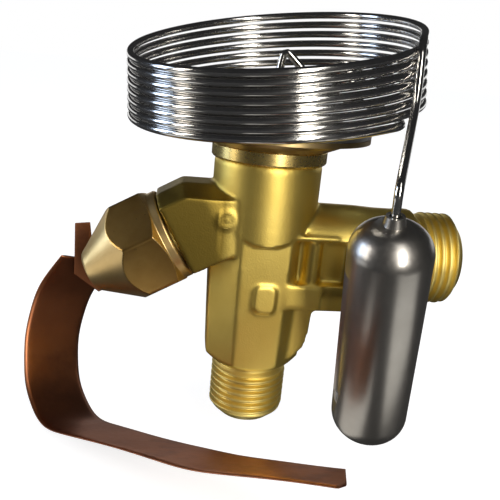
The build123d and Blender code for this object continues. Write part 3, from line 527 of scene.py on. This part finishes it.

# Painted shade: the slanted boss and the shelf under the outlet arm take a darker painted brass,
# laid by a mesh attribute.
shade_on_boss = 0.95
shade_edge_x = -6.2 * mm
shade_edge_fade = 2.4 * mm
shade_foot_x = -8 * mm
shade_foot_z = -1.2 * mm
shade_foot_slope = 0.65
shade_foot_fade = 0.6 * mm
shade_top_z = 16 * mm
shade_top_fade = 5 * mm
shade_on_shelf = 0.45
shelf_root_x = 12.5 * mm
shelf_root_fade = 2 * mm
shelf_top_z = 2 * mm
shelf_top_fade = 4 * mm
shade_foot_line = shade_foot_z + shade_foot_slope * (skin_x - shade_foot_x)
shaded_boss = ramp(skin_x, shade_edge_x, -shade_edge_fade)
shaded_boss = shaded_boss * ramp(skin_z, shade_foot_line, shade_foot_fade)
shaded_boss = shaded_boss * ramp(skin_z, shade_top_z, -shade_top_fade)
shaded_shelf = shade_on_shelf * ramp(skin_x, shelf_root_x, shelf_root_fade)
shaded_shelf = shaded_shelf * ramp(skin_z, shelf_top_z, -shelf_top_fade)
painted_shade_share = np.maximum(shade_on_boss * shaded_boss, shaded_shelf)
painted_shade_layer = skin.attributes.new("painted_shade_amount", "FLOAT", "POINT")
painted_shade_layer.data.foreach_set("value", painted_shade_share.astype(np.float32))
skin.shade_smooth()
forging.data.materials.clear()
forging.data.materials.append(body_blasted)
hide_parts("valve_body")
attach(forging, "valve")

# ---------------------------------------------------------------- turned ends of the body
# The inlet and the outlet are turned and threaded for flare nuts, each with a seat for the
# flared pipe; the collar under the power head and the spigot for the cap are turned too.
turned_sides = 160
turned_step = 0.06 * mm
inlet_pitch = 1.4111 * mm
outlet_pitch = 1.5875 * mm
spigot_pitch = 1.0 * mm
spigot_root_r = 6.45 * mm

brass_turned = metal(
    "brass_turned_thread",
    light=(0.96, 0.79, 0.28, 1),
    dark=(0.88, 0.70, 0.22, 1),
    roughness=0.48,
    spread=0.04,
    patch=140,
    grain=1800,
    bump=0.03,
    depth=0.00004,
)


def thread_form(turn, flat=0.16):
    """Height of a vee thread, from 0 at the root to 1 at the crest, over one turn (0 to 1):
    straight flanks with a narrow flat at the root and the crest, softened by a sine."""
    saw = np.abs((turn % 1.0) * 2 - 1)
    vee = ramp(saw, flat, 1 - 2 * flat)
    return 0.5 - 0.5 * np.cos(np.pi * vee)


def turned_grid(profile, origin, axis, side, up, thread=None):
    """Points of a closed ring of rotation. profile rows are (distance along axis, radius).
    thread is (start, end, pitch, root radius): between start and end the radius rises from
    the root to the profile's own radius by the thread form, and fades out over one pitch."""
    angle = np.linspace(0, 2 * np.pi, turned_sides, endpoint=False)
    along = profile[:, 0][:, None] + 0 * angle
    radius = profile[:, 1][:, None] + 0 * angle
    if thread is not None:
        start, end, pitch, root = thread
        turn = along / pitch - angle / (2 * np.pi)
        fade = ramp(along, start, pitch) * ramp(along, end, -pitch)
        cut = (1 - thread_form(turn)) * fade
        threaded = (along > start) & (along < end)
        radius = np.where(threaded, radius - (radius - root) * cut, radius)
    return (
        origin
        + along[..., None] * axis
        + (radius * np.cos(angle))[..., None] * side
        + (radius * np.sin(angle))[..., None] * up
    )


def dense_profile(points, longest):
    """The profile's points with more between them, so that no step is longer than longest."""
    rows = []
    for first, last in zip(points[:-1], points[1:]):
        steps = max(int(np.ceil(np.hypot(last[0] - first[0], last[1] - first[1]) / longest)), 1)
        share = np.arange(steps)[:, None] / steps
        rows.append(np.array(first) + share * (np.array(last) - np.array(first)))
    rows.append(np.array([points[-1]]))
    return np.concatenate(rows)


def face_outward(mesh, fill_ends=False):
    """Turns every face of a closed mesh outward, and first fills its open ends if asked."""
    shape = bmesh.new()
    shape.from_mesh(mesh)
    if fill_ends:
        bmesh.ops.holes_fill(shape, edges=[e for e in shape.edges if e.is_boundary], sides=0)
    bmesh.ops.recalc_face_normals(shape, faces=shape.faces)
    shape.to_mesh(mesh)
    shape.free()


def turned_piece(name, points, origin, axis, side, thread=None):
    """Closed turned ring from its outline, given in mm as (along, radius) all the way round."""
    outline = dense_profile([(a * mm, r * mm) for a, r in points], turned_step)[:-1]
    axis = np.array(axis, float)
    side = np.array(side, float)
    grid = turned_grid(outline, np.array(origin, float), axis, side, np.cross(axis, side), thread)
    mesh = surface_mesh(name, grid, close_u=True, close_v=True)
    face_outward(mesh)
    return add_piece(name, mesh)


def dress(piece, material, body):
    """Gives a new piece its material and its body."""
    piece.data.materials.clear()
    piece.data.materials.append(material)
    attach(piece, body)


inlet_end = turned_piece(
    "inlet_flare_thread",
    [
        (24.0, 5.2),
        (24.0, 7.0),
        (25.2, 7.0),
        (25.9, 7.9375),
        (34.9, 7.9375),
        (35.4, 7.45),
        (37.0, 5.75),
        (37.25, 5.25),
        (37.25, 4.62),
        (36.9, 4.55),
        (24.0, 4.55),
        (24.0, 5.2),
    ],
    origin=(0, 0, 0),
    axis=(0, 0, -1),
    side=(1, 0, 0),
    thread=(25.2 * mm, 35.6 * mm, inlet_pitch, inlet_root_r),
)
dress(inlet_end, brass_turned, "valve")

outlet_end = turned_piece(
    "outlet_flare_thread",
    [
        (30.8, 6.2),
        (30.8, 8.5),
        (32.0, 8.5),
        (32.7, 9.525),
        (38.7, 9.525),
        (39.2, 9.0),
        (40.4, 6.7),
        (40.65, 6.2),
        (40.65, 5.35),
        (40.3, 5.25),
        (30.8, 5.25),
        (30.8, 6.2),
    ],
    origin=(0, 0, 0),
    axis=(1, 0, 0),
    side=(0, 1, 0),
    thread=(32.0 * mm, 39.4 * mm, outlet_pitch, outlet_root_r),
)
dress(outlet_end, brass_turned, "valve")

spigot = turned_piece(
    "cap_spigot_thread",
    [
        (19.7, 6.0),
        (19.7, 6.6),
        (20.6, 6.6),
        (21.1, 6.98),
        (28.0, 6.98),
        (28.45, 6.6),
        (28.48, 4.2),
        (19.7, 4.2),
        (19.7, 6.0),
    ],
    origin=branch_origin,
    axis=branch_dir,
    side=branch_side,
    thread=(20.7 * mm, 28.3 * mm, spigot_pitch, spigot_root_r),
)
dress(spigot, brass_turned, "valve")

brass_collar = metal(
    "brass_collar_turned",
    light=(0.88, 0.67, 0.25, 1),
    dark=(0.78, 0.57, 0.19, 1),
    roughness=0.28,
    spread=0.05,
    patch=160,
    grain=1500,
    bump=0.015,
    depth=0.00003,
)
neck_collar = turned_piece(
    "neck_collar",
    [
        (18.1, 9.6),
        (18.1, 10.5),
        (18.34, 10.95),
        (18.5, 11.2),
        (18.75, 11.38),
        (20.9, 11.38),
        (21.15, 11.2),
        (21.19, 10.9),
        (21.19, 9.6),
        (18.1, 9.6),
    ],
    origin=(0, 0, 0),
    axis=(0, 0, 1),
    side=(1, 0, 0),
)
dress(neck_collar, brass_collar, "valve")

# A small plain ring stands on each side of the boss, from the forging die.
mark_x = -8.0 * mm
mark_z = 7.5 * mm
mark_r = 1.55 * mm
mark_rim = 0.28 * mm
mark_rise = 0.6
mark_side = 8.8 * mm
mark_proud = 0.02 * mm
mark_turns = np.linspace(0, 2 * np.pi, 48, endpoint=False)[:, None]
mark_round = np.linspace(0, 2 * np.pi, 16, endpoint=False)[None, :]
for name, side in (("die_mark_front", -1), ("die_mark_back", 1)):
    ring_r = mark_r + mark_rim * np.cos(mark_round)
    ring_y = mark_side + mark_proud + mark_rise * mark_rim * np.sin(mark_round)
    mark_grid = np.stack(
        (
            mark_x + ring_r * np.cos(mark_turns),
            side * ring_y + 0 * mark_turns,
            mark_z + side * ring_r * np.sin(mark_turns),
        ),
        axis=-1,
    )
    mark = add_piece(name, surface_mesh(name, mark_grid, close_u=True, close_v=True))
    face_outward(mark.data)
    dress(mark, body_blasted, "valve")

# ---------------------------------------------------------------- power head
# Two pressed stainless cups with the diaphragm between them, closed by a weld round the rim.
# The lower cup is brazed to the body; its brass-brown colour is a painted reflection of the brass
# body and painted shade on its underside.
stainless = metal(
    "stainless_pressed",
    light=(0.60, 0.585, 0.56, 1),
    dark=(0.48, 0.465, 0.45, 1),
    roughness=0.30,
    spread=0.06,
    patch=120,
    grain=900,
    bump=0.06,
    depth=0.00004,
)


def clothe_node(node, material):
    """Gives a CAD node its material in every slot."""
    mesh = nodes[node].data
    mesh.materials.clear()
    mesh.materials.append(material)


# Painted reflection of the brass body, with painted shade, on the lower cup.
head_painted_reflection = metal(
    "stainless_painted_brass_reflection",
    light=(0.56, 0.42, 0.20, 1),
    dark=(0.36, 0.25, 0.11, 1),
    roughness=0.34,
    spread=0.06,
    patch=70,
    grain=900,
    bump=0.06,
    depth=0.00004,
)
for head_node in ("power_head_upper_cup", "diaphragm"):
    clothe_node(head_node, stainless)
clothe_node("power_head_lower_cup", head_painted_reflection)

# ---------------------------------------------------------------- capillary
# Bright drawn stainless tube: out of the head in a short arch, eight loose turns, and a
# nearly straight lead down into the bulb. Its line is the one that the solid follows, and
# is in mm until its grid is made.
capillary_r = 0.74
dome_top = 29.0
coil_bottom_r = 28.1
coil_top_r = 27.5
coil_bottom_x = 0.8
coil_top_x = -0.5
coil_y = 3.0
coil_turns = 7.89
coil_bottom_z = 28.06
coil_turn_rise = 1.743
coil_bottom_tilt = (0.128, 0.092)
coil_top_tilt = (0.160, 0.174)
coil_start = math.radians(-60)
bulb_centre = np.array((19.3, -24.6, -8.0))
bulb_axis = np.array((-0.11, -0.25, 1.0))
bulb_axis = bulb_axis / np.linalg.norm(bulb_axis)
bulb_length = 45.6
tube_sides = 16
arch_step = 0.5
lead_step = 0.7
coil_rows_per_turn = 96
turn_step = 0.001
run_to_coil = 6
run_from_coil = 9
run_to_bulb = 6
end_above_bulb = 0.8
up_at_arch = np.array((0.0, 1.0, 0.0))
up_at_coil = np.array((0.0, 0.0, 1.0))
up_at_lead = np.array((0.0, 1.0, 0.3))
arch_blend_start = 0.62
arch_blend_length = 0.3
lead_blend_rows = 14


def coil_line(turn):
    """Points of the coil at the given turns: a ring that turns clockwise as it climbs, with
    its radius, its centre and its tilt drawn from the bottom turn's to the top turn's."""
    share = turn / coil_turns
    angle = coil_start - 2 * np.pi * turn
    radius = coil_bottom_r + (coil_top_r - coil_bottom_r) * share
    x = radius * np.cos(angle)
    y = radius * np.sin(angle)
    tilt_x = coil_bottom_tilt[0] + (coil_top_tilt[0] - coil_bottom_tilt[0]) * share
    tilt_y = coil_bottom_tilt[1] + (coil_top_tilt[1] - coil_bottom_tilt[1]) * share
    z = coil_bottom_z + coil_turn_rise * turn + tilt_x * x + tilt_y * y
    centre_x = coil_bottom_x + (coil_top_x - coil_bottom_x) * share
    return np.stack((centre_x + x, coil_y + y, z), axis=-1)


def bent_line(points, trims, steps=10):
    """Straight runs between points, with each inner corner cut back by its trim and rounded
    by a parabola that is tangent to both runs."""
    points = np.array(points, float)
    share = np.linspace(0, 1, steps)[:, None]
    rows = [points[:1]]
    for before, corner, after, trim in zip(points, points[1:], points[2:], trims):
        start = corner + (before - corner) / np.linalg.norm(before - corner) * trim
        end = corner + (after - corner) / np.linalg.norm(after - corner) * trim
        rows.append((1 - share) ** 2 * start + 2 * share * (1 - share) * corner + share**2 * end)
    rows.append(points[-1:])
    return np.concatenate(rows)


def tube_grid(line, radius, up):
    """Rings of the given radius square to the line. Each ring is laid out from the row's own
    up vector, made square to the line's direction there."""
    direction = np.gradient(line, axis=0)
    direction /= np.linalg.norm(direction, axis=1, keepdims=True)
    normal = up - np.sum(up * direction, axis=1, keepdims=True) * direction
    normal /= np.linalg.norm(normal, axis=1, keepdims=True)
    other = np.cross(direction, normal)
    angle = np.linspace(0, 2 * np.pi, tube_sides, endpoint=False)[None, :, None]
    spoke = np.cos(angle) * normal[:, None] + np.sin(angle) * other[:, None]
    return line[:, None] + radius * spoke


def resample(line, step):
    """The line again with its points a near-even step apart."""
    length = np.concatenate(([0], np.cumsum(np.linalg.norm(np.diff(line, axis=0), axis=1))))
    places = np.linspace(0, length[-1], int(length[-1] / step) + 1)
    return np.stack([np.interp(places, length, line[:, k]) for k in range(3)], axis=-1)


coil_turn = np.linspace(0, coil_turns, int(coil_turns * coil_rows_per_turn) + 1)
coil = coil_line(coil_turn)
start_direction = coil_line(np.array([turn_step]))[0] - coil_line(np.array([-turn_step]))[0]
start_direction /= np.linalg.norm(start_direction)
end_turn = np.array([coil_turns])
end_direction = coil_line(end_turn + turn_step)[0] - coil_line(end_turn - turn_step)[0]
end_direction /= np.linalg.norm(end_direction)
bulb_top = bulb_centre + bulb_axis * bulb_length / 2
arch = bent_line(
    [
        (0, 0, dome_top - 0.4),
        (0, 0, dome_top + 3.5),
        (0.9, 0, dome_top + 10.4),
        (8.8, -1.5, dome_top + 3.0),
        (20.0, -8.0, dome_top + 1.2),
        coil[0] - start_direction * run_to_coil,
        coil[0],
    ],
    trims=[1.2, 1.9, 2.6, 2.2, 2.4],
)
lead = bent_line(
    [
        coil[-1],
        coil[-1] + end_direction * run_from_coil,
        (21.9, -17.2, 32.5),
        bulb_top + bulb_axis * run_to_bulb,
        bulb_top + bulb_axis * end_above_bulb,
    ],
    trims=[4.2, 3.4, 1.6],
)
arch_line = resample(arch, arch_step)[:-1]
lead_line = resample(lead, lead_step)[1:]
line = np.concatenate((arch_line, coil, lead_line))
arch_rows = len(arch_line)
row = np.arange(len(line))
from_end = len(line) - 1 - row
blend_in = ramp(row, arch_rows * arch_blend_start, arch_rows * arch_blend_length)
blend_out = ramp(from_end, len(lead_line), -lead_blend_rows)
up = up_at_arch + (up_at_coil - up_at_arch) * blend_in[:, None]
up = up + (up_at_lead - up) * blend_out[:, None]
tube = tube_grid(line * mm, capillary_r * mm, up)
tube_mesh = surface_mesh("capillary_bright", tube, close_v=True)
capillary = add_piece("capillary_bright", tube_mesh)
face_outward(tube_mesh, fill_ends=True)
bright_tube = metal(
    "stainless_drawn_bright",
    light=(0.70, 0.69, 0.67, 1),
    dark=(0.66, 0.65, 0.63, 1),
    roughness=0.13,
    spread=0.04,
    patch=200,
    grain=1500,
    bump=0.03,
    depth=0.00002,
)
dress(capillary, bright_tube, "valve")
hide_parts("capillary_tube")

# ---------------------------------------------------------------- sensing bulb
# Seamless stainless tube, closed by spinning its ends round. The capillary is brazed into a
# short nipple at its top, as it is at the top of the power head.
bulb_satin = metal(
    "stainless_bulb_satin",
    light=(0.54, 0.52, 0.49, 1),
    dark=(0.45, 0.43, 0.40, 1),
    roughness=0.31,
    spread=0.05,
    patch=90,
    grain=1100,
    bump=0.05,
    depth=0.00003,
)
for bulb_node in ("sensing_bulb", "bulb_nipple", "head_nipple"):
    clothe_node(bulb_node, bulb_satin)

# ---------------------------------------------------------------- seal cap
# Turned from hexagon brass bar: chamfered flats that a spanner grips, and a plain cone beyond
# them. The cone's brass is a lighter copy of the flats' brass: painted light on the cone and
# painted shade on the flats. It screws over the spigot and seals the adjusting spindle.
cap_flats_shaded_brass = metal(
    "brass_cap_flats_painted_shade",
    light=(0.55, 0.34, 0.105, 1),
    dark=(0.42, 0.245, 0.07, 1),
    roughness=0.30,
    spread=0.05,
    patch=130,
    grain=1300,
    bump=0.05,
    depth=0.00004,
    stain=((0.44, 0.26, 0.10, 1), 0.25, 120),
)
cap_cone_lit_brass = metal(
    "brass_cap_cone_painted_light",
    light=(0.86, 0.63, 0.29, 1),
    dark=(0.76, 0.53, 0.22, 1),
    roughness=0.36,
    spread=0.05,
    patch=150,
    grain=1500,
    bump=0.05,
    depth=0.00004,
)
cap_flats = 19.0
cap_turned = math.radians(12)
cap_edge_sharpness = 70
cap_sides = 240
cap_outer_step = 0.12 * mm
cap_inner_step = 0.8 * mm
cap_outline = [
    (20.40, 7.15),
    (20.40, 8.95),
    (20.48, 9.18),
    (20.70, 9.30),
    (22.00, 9.30),
    (22.10, 9.36),
    (23.25, 11.15),
    (28.80, 11.15),
    (38.75, 4.42),
    (39.05, 4.15),
    (39.24, 3.80),
    (39.30, 3.30),
    (39.30, 0.40),
    (39.30, 0.02),
]
cap_inside = [
    (33.98, 0.02),
    (34.00, 5.60),
    (29.30, 5.60),
    (29.30, 7.02),
    (20.60, 7.02),
    (20.40, 7.15),
]


def hexagon_radius(angle, flats, turned, sharpness):
    """Radius of a hexagon of the given width across flats. The six flats are joined by a
    power sum of their cosines, and a higher sharpness leaves narrower corners."""
    total = 0
    for flat in range(6):
        facing = np.cos(angle - turned - flat * np.pi / 3)
        total = total + np.maximum(facing, 0) ** sharpness
    return flats / 2 / total ** (1 / sharpness)


outer = dense_profile([(a * mm, r * mm) for a, r in cap_outline], cap_outer_step)
inner = dense_profile([(a * mm, r * mm) for a, r in cap_inside], cap_inner_step)[:-1]
cap_angle = np.linspace(0, 2 * np.pi, cap_sides, endpoint=False)
hexagon = hexagon_radius(cap_angle, cap_flats * mm, cap_turned, cap_edge_sharpness)
outer_r = np.minimum(outer[:, 1][:, None], hexagon[None, :])
inner_r = inner[:, 1][:, None] + 0 * hexagon[None, :]
cap_r = np.concatenate((outer_r, inner_r))
cap_along = np.concatenate((outer[:, 0], inner[:, 0]))[:, None]
cap_grid = (
    branch_origin
    + cap_along[..., None] * branch_dir
    + (cap_r * np.cos(cap_angle))[..., None] * branch_side
    + (cap_r * np.sin(cap_angle))[..., None] * branch_up
)
cap_mesh = surface_mesh("hexagon_cap", cap_grid, close_u=True, close_v=True)
face_outward(cap_mesh)
cap_piece = add_piece("hexagon_cap", cap_mesh)
cap_mesh.materials.append(cap_flats_shaded_brass)
cap_mesh.materials.append(cap_cone_lit_brass)
# The cone's faces take the lighter copy, painted light, and the flats keep the darker one,
# painted shade.
row_of_face = np.arange(len(cap_mesh.polygons)) // cap_sides
column_of_face = np.arange(len(cap_mesh.polygons)) % cap_sides
cone_limit = outer[:, 1][np.minimum(row_of_face, len(outer) - 1)]
lit_cone_face = (cone_limit <= hexagon[column_of_face]) & (row_of_face < len(outer))
cap_mesh.polygons.foreach_set("material_index", lit_cone_face.astype(np.int32))
cap_mesh.update()
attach(cap_piece, "cap")
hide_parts("seal_cap")

# ---------------------------------------------------------------- copper strap
# Soft rolled copper strip that will tie the bulb to the pipe. It is bent round, hangs by its
# tongue behind the cap and runs forward past the inlet. Lengths are in mm until each mesh is
# made, and a bend is its straight run, its radius and its turn in degrees.
copper = metal(
    "copper_strip_toned",
    light=(0.52, 0.205, 0.095, 1),
    dark=(0.40, 0.15, 0.068, 1),
    roughness=0.42,
    spread=0.07,
    patch=45,
    grain=900,
    bump=0.10,
    depth=0.0001,
    stain=((0.24, 0.10, 0.06, 1), 0.30, 40),
    # painted shade colour for the strap's lower bend
    painted_shade=("painted_shade_amount", (0.19, 0.068, 0.030, 1)),
)
strap_width = 15.0
strap_thickness = 0.5
strap_origin = np.array((-44.4, 14.0, -32.9))
strap_side = np.array((0.699, 0.659, -0.276))
strap_side = strap_side / np.linalg.norm(strap_side)
strap_out = np.array((0.686, -0.728, 0.0))
strap_out = strap_out / np.linalg.norm(strap_out)
strap_rise = np.cross(strap_side, strap_out)
strap_rise = strap_rise * np.sign(strap_rise[2])
strap_start = np.array((4.9, 24.4))
strap_heading = math.radians(-122.8)
strap_bends = [(7.8, 12, 31.2), (4.4, 14, 26.3), (5.0, 10, 32.4), (4.0, 8, 47.5), (35.0, 80, 6.5)]
strap_tail = 24.6
strap_reach = 79.0
strap_cut_slant = 4.0
strap_soften = 2.2
strap_step = 0.4
strap_lanes = 15
strap_twist = 0.16
strap_twist_length = 6.5
strap_twist_start = 0.8
strap_bow = 0.10
strap_bow_length = 3.7
strap_edge_from = 0.965
strap_edge_least = 0.08
strap_shade_most = 0.75
strap_shade_middle = 40.0
strap_shade_length = 15.0
tongue_air = 0.4
tongue_end_x = -13.0
tongue_end_z = (-3.34, 5.66)
boss_face_y = 8.8
foot_air = 0.3
sheared_edge = 0.12


def bent_strip(start, heading, bends, tail, soften, step):
    """Plane line of straight runs and arcs, taken in turn from a start and a heading, as
    points an even step apart: the heading is worked out along the line's length, averaged
    under a bell curve of the width soften, and its cosine and sine are summed as it runs."""
    lengths = [0.0]
    headings = [heading]
    for straight, radius, turn in bends:
        lengths += [lengths[-1] + straight, lengths[-1] + straight + radius * math.radians(turn)]
        headings += [headings[-1], headings[-1] + math.radians(turn)]
    lengths.append(lengths[-1] + tail)
    headings.append(headings[-1])
    along = np.arange(0, lengths[-1], step)
    facing = np.interp(along + step / 2, lengths, headings)
    reach = int(soften * 3 / step)
    window = np.exp(-0.5 * (np.arange(-reach, reach + 1) * step / soften) ** 2)
    facing = np.convolve(np.pad(facing, reach, mode="edge"), window / window.sum(), mode="valid")
    across = start[0] + np.cumsum(np.cos(facing)) * step
    rise = start[1] + np.cumsum(np.sin(facing)) * step
    return along, across, rise, facing


along, out, rise, facing = bent_strip(
    strap_start, strap_heading, strap_bends, strap_tail, strap_soften, strap_step
)
lane = np.linspace(-1, 1, strap_lanes)
tail_rows = int(strap_tail / strap_step)
cut_line = strap_reach - strap_cut_slant * lane
lane_end = np.interp(cut_line, out[-tail_rows:], along[-tail_rows:])
tail_start = along[-tail_rows]
squeeze = (lane_end - tail_start) / (along[-1] - tail_start)
laid = along[:, None] + 0 * lane[None, :]
laid = np.where(laid < tail_start, laid, tail_start + (laid - tail_start) * squeeze[None, :])
out_laid = np.interp(laid, along, out)
rise_laid = np.interp(laid, along, rise)
facing_laid = np.interp(laid, along, facing)
strap_face = np.cos(facing_laid)[..., None] * strap_rise
strap_face = strap_face - np.sin(facing_laid)[..., None] * strap_out
edge_share = np.maximum(np.abs(lane) - strap_edge_from, 0) / (1 - strap_edge_from)
edge_round = np.sqrt(np.clip(1 - edge_share, strap_edge_least, 1))
wave = strap_twist * np.sin(laid / strap_twist_length + strap_twist_start) * lane
wave = wave + strap_bow * np.sin(laid / strap_bow_length) * (1 - lane**2)
flat_points = strap_origin + out_laid[..., None] * strap_out + rise_laid[..., None] * strap_rise
flat_points = flat_points + lane[None, :, None] * strap_side * strap_width / 2
flat_points = flat_points + wave[..., None] * strap_face
lift = (strap_thickness / 2 * edge_round)[None, :, None] * strap_face
strap_grid = np.concatenate((flat_points + lift, (flat_points - lift)[:, ::-1]), axis=1) * mm
strap_mesh = surface_mesh("copper_strap", strap_grid, close_v=True)
face_outward(strap_mesh, fill_ends=True)
strap = add_piece("copper_strap", strap_mesh)
# Painted shade: a darker brown is painted round the strap's lower bend, fading either way along
# its length.
strap_shade_rows = strap_shade_most * np.exp(-(((along - strap_shade_middle) / strap_shade_length) ** 2))
painted_shade_share = np.repeat(strap_shade_rows, 2 * strap_lanes)
painted_shade_layer = strap_mesh.attributes.new("painted_shade_amount", "FLOAT", "POINT")
painted_shade_layer.data.foreach_set("value", painted_shade_share.astype(np.float32))
dress(strap, copper, "valve")
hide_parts("bulb_strap")

# Its tongue lies flat behind the cap and ends in a short foot bent towards the boss.
tongue_inner_y = cap_flats / math.sqrt(3) + tongue_air
tongue_outline = [
    (-39.0, -12.0),
    (-39.0, -0.4),
    (-35.8, 0.0),
    (-35.0, -6.9),
    (tongue_end_x, tongue_end_z[1]),
    (tongue_end_x, tongue_end_z[0]),
    (-33.6, -15.9),
]
tongue = bpy.data.meshes.new("strap_tongue")
tongue_corners = [(x * mm, tongue_inner_y * mm, z * mm) for x, z in tongue_outline]
tongue.from_pydata(tongue_corners, [], [tuple(range(len(tongue_corners)))])
tongue_piece = add_piece("strap_tongue", tongue, smooth=False)
thicken = tongue_piece.modifiers.new("sheet", "SOLIDIFY")
thicken.thickness = strap_thickness * mm
thicken.offset = -1
soften_edges = tongue_piece.modifiers.new("sheared_edges", "BEVEL")
soften_edges.width = sheared_edge * mm
soften_edges.segments = 2
dress(tongue_piece, copper, "valve")
foot_y = (tongue_inner_y + strap_thickness, boss_face_y + foot_air)
foot_grid = np.array([[(tongue_end_x, y, z) for z in tongue_end_z] for y in foot_y])
foot = add_piece("strap_foot", surface_mesh("strap_foot", foot_grid * mm), smooth=False)
thicken = foot.modifiers.new("sheet", "SOLIDIFY")
thicken.thickness = strap_thickness * mm
thicken.offset = 1 if foot.data.polygons[0].normal.x < 0 else -1
dress(foot, copper, "valve")

# ---------------------------------------------------------------- inner pieces
# Seen only when the valve is opened. Rod, spindle, pinion and cone are turned steel, the
# guide, the spring seat and the gear hub are bronze, and the gland and the orifice are brass.
# The springs are drawn wire, and the seals and the filter's frame are moulded.
steel_turned = metal(
    "steel_turned",
    light=(0.58, 0.58, 0.58, 1),
    dark=(0.48, 0.48, 0.48, 1),
    roughness=0.28,
    spread=0.05,
    patch=200,
    grain=1500,
    bump=0.05,
    depth=0.00003,
)
bronze = metal(
    "bronze_turned",
    light=(0.62, 0.42, 0.22, 1),
    dark=(0.50, 0.33, 0.16, 1),
    roughness=0.33,
    spread=0.05,
    patch=200,
    grain=1500,
    bump=0.06,
    depth=0.00003,
)
spring_wire = metal(
    "spring_wire_drawn",
    light=(0.45, 0.45, 0.46, 1),
    dark=(0.36, 0.36, 0.37, 1),
    roughness=0.3,
    spread=0.05,
    patch=300,
    grain=1500,
    bump=0.05,
    depth=0.00003,
)
for inner_node in ("thrust_pad", "push_rod", "setting_spindle", "bevel_pinion", "valve_cone"):
    clothe_node(inner_node, steel_turned)
for inner_node in ("guide_bush", "spring_seat", "gear_hub"):
    clothe_node(inner_node, bronze)
for inner_node in ("superheat_spring", "cone_spring", "hub_circlip"):
    clothe_node(inner_node, spring_wire)
for inner_node in ("gland_nut", "orifice_cartridge", "cone_spring_cup"):
    clothe_node(inner_node, brass_turned)
clothe_node("filter_screen", stainless)


def moulded(name, colour, deep, roughness, scale):
    """Moulded rubber, sealing sheet or plastic with a faint mottle and a dull skin. colour and
    deep are its lighter and its darker red, green and blue."""
    material = bpy.data.materials.new(name)
    material.use_nodes = True
    tree = material.node_tree
    shader = tree.nodes["Principled BSDF"]
    place = tree.nodes.new("ShaderNodeTexCoord")
    mottle = tree.nodes.new("ShaderNodeTexNoise")
    mottle.inputs["Scale"].default_value = scale
    tint = tree.nodes.new("ShaderNodeMix")
    tint.data_type = "RGBA"
    tint.inputs["A"].default_value = (*deep, 1)
    tint.inputs["B"].default_value = (*colour, 1)
    tree.links.new(place.outputs["Object"], mottle.inputs["Vector"])
    tree.links.new(mottle.outputs["Fac"], tint.inputs["Factor"])
    tree.links.new(tint.outputs["Result"], shader.inputs["Base Color"])
    shader.inputs["Roughness"].default_value = roughness
    relief = tree.nodes.new("ShaderNodeBump")
    relief.inputs["Strength"].default_value = 0.1
    relief.inputs["Distance"].default_value = 0.0001
    tree.links.new(mottle.outputs["Fac"], relief.inputs["Height"])
    tree.links.new(relief.outputs["Normal"], shader.inputs["Normal"])
    return material


moulded_nodes = {
    "spindle_packing": ("packing_graphite", (0.06, 0.06, 0.06), (0.03, 0.03, 0.03), 0.6, 900),
    "orifice_o_ring": ("rubber_ring", (0.05, 0.05, 0.05), (0.03, 0.03, 0.03), 0.5, 900),
    "cap_gasket": ("gasket_sheet", (0.85, 0.85, 0.82), (0.74, 0.74, 0.70), 0.55, 700),
    "filter_frame": ("filter_plastic", (0.75, 0.72, 0.62), (0.66, 0.62, 0.52), 0.45, 700),
}
for inner_node, look in moulded_nodes.items():
    clothe_node(inner_node, moulded(*look))
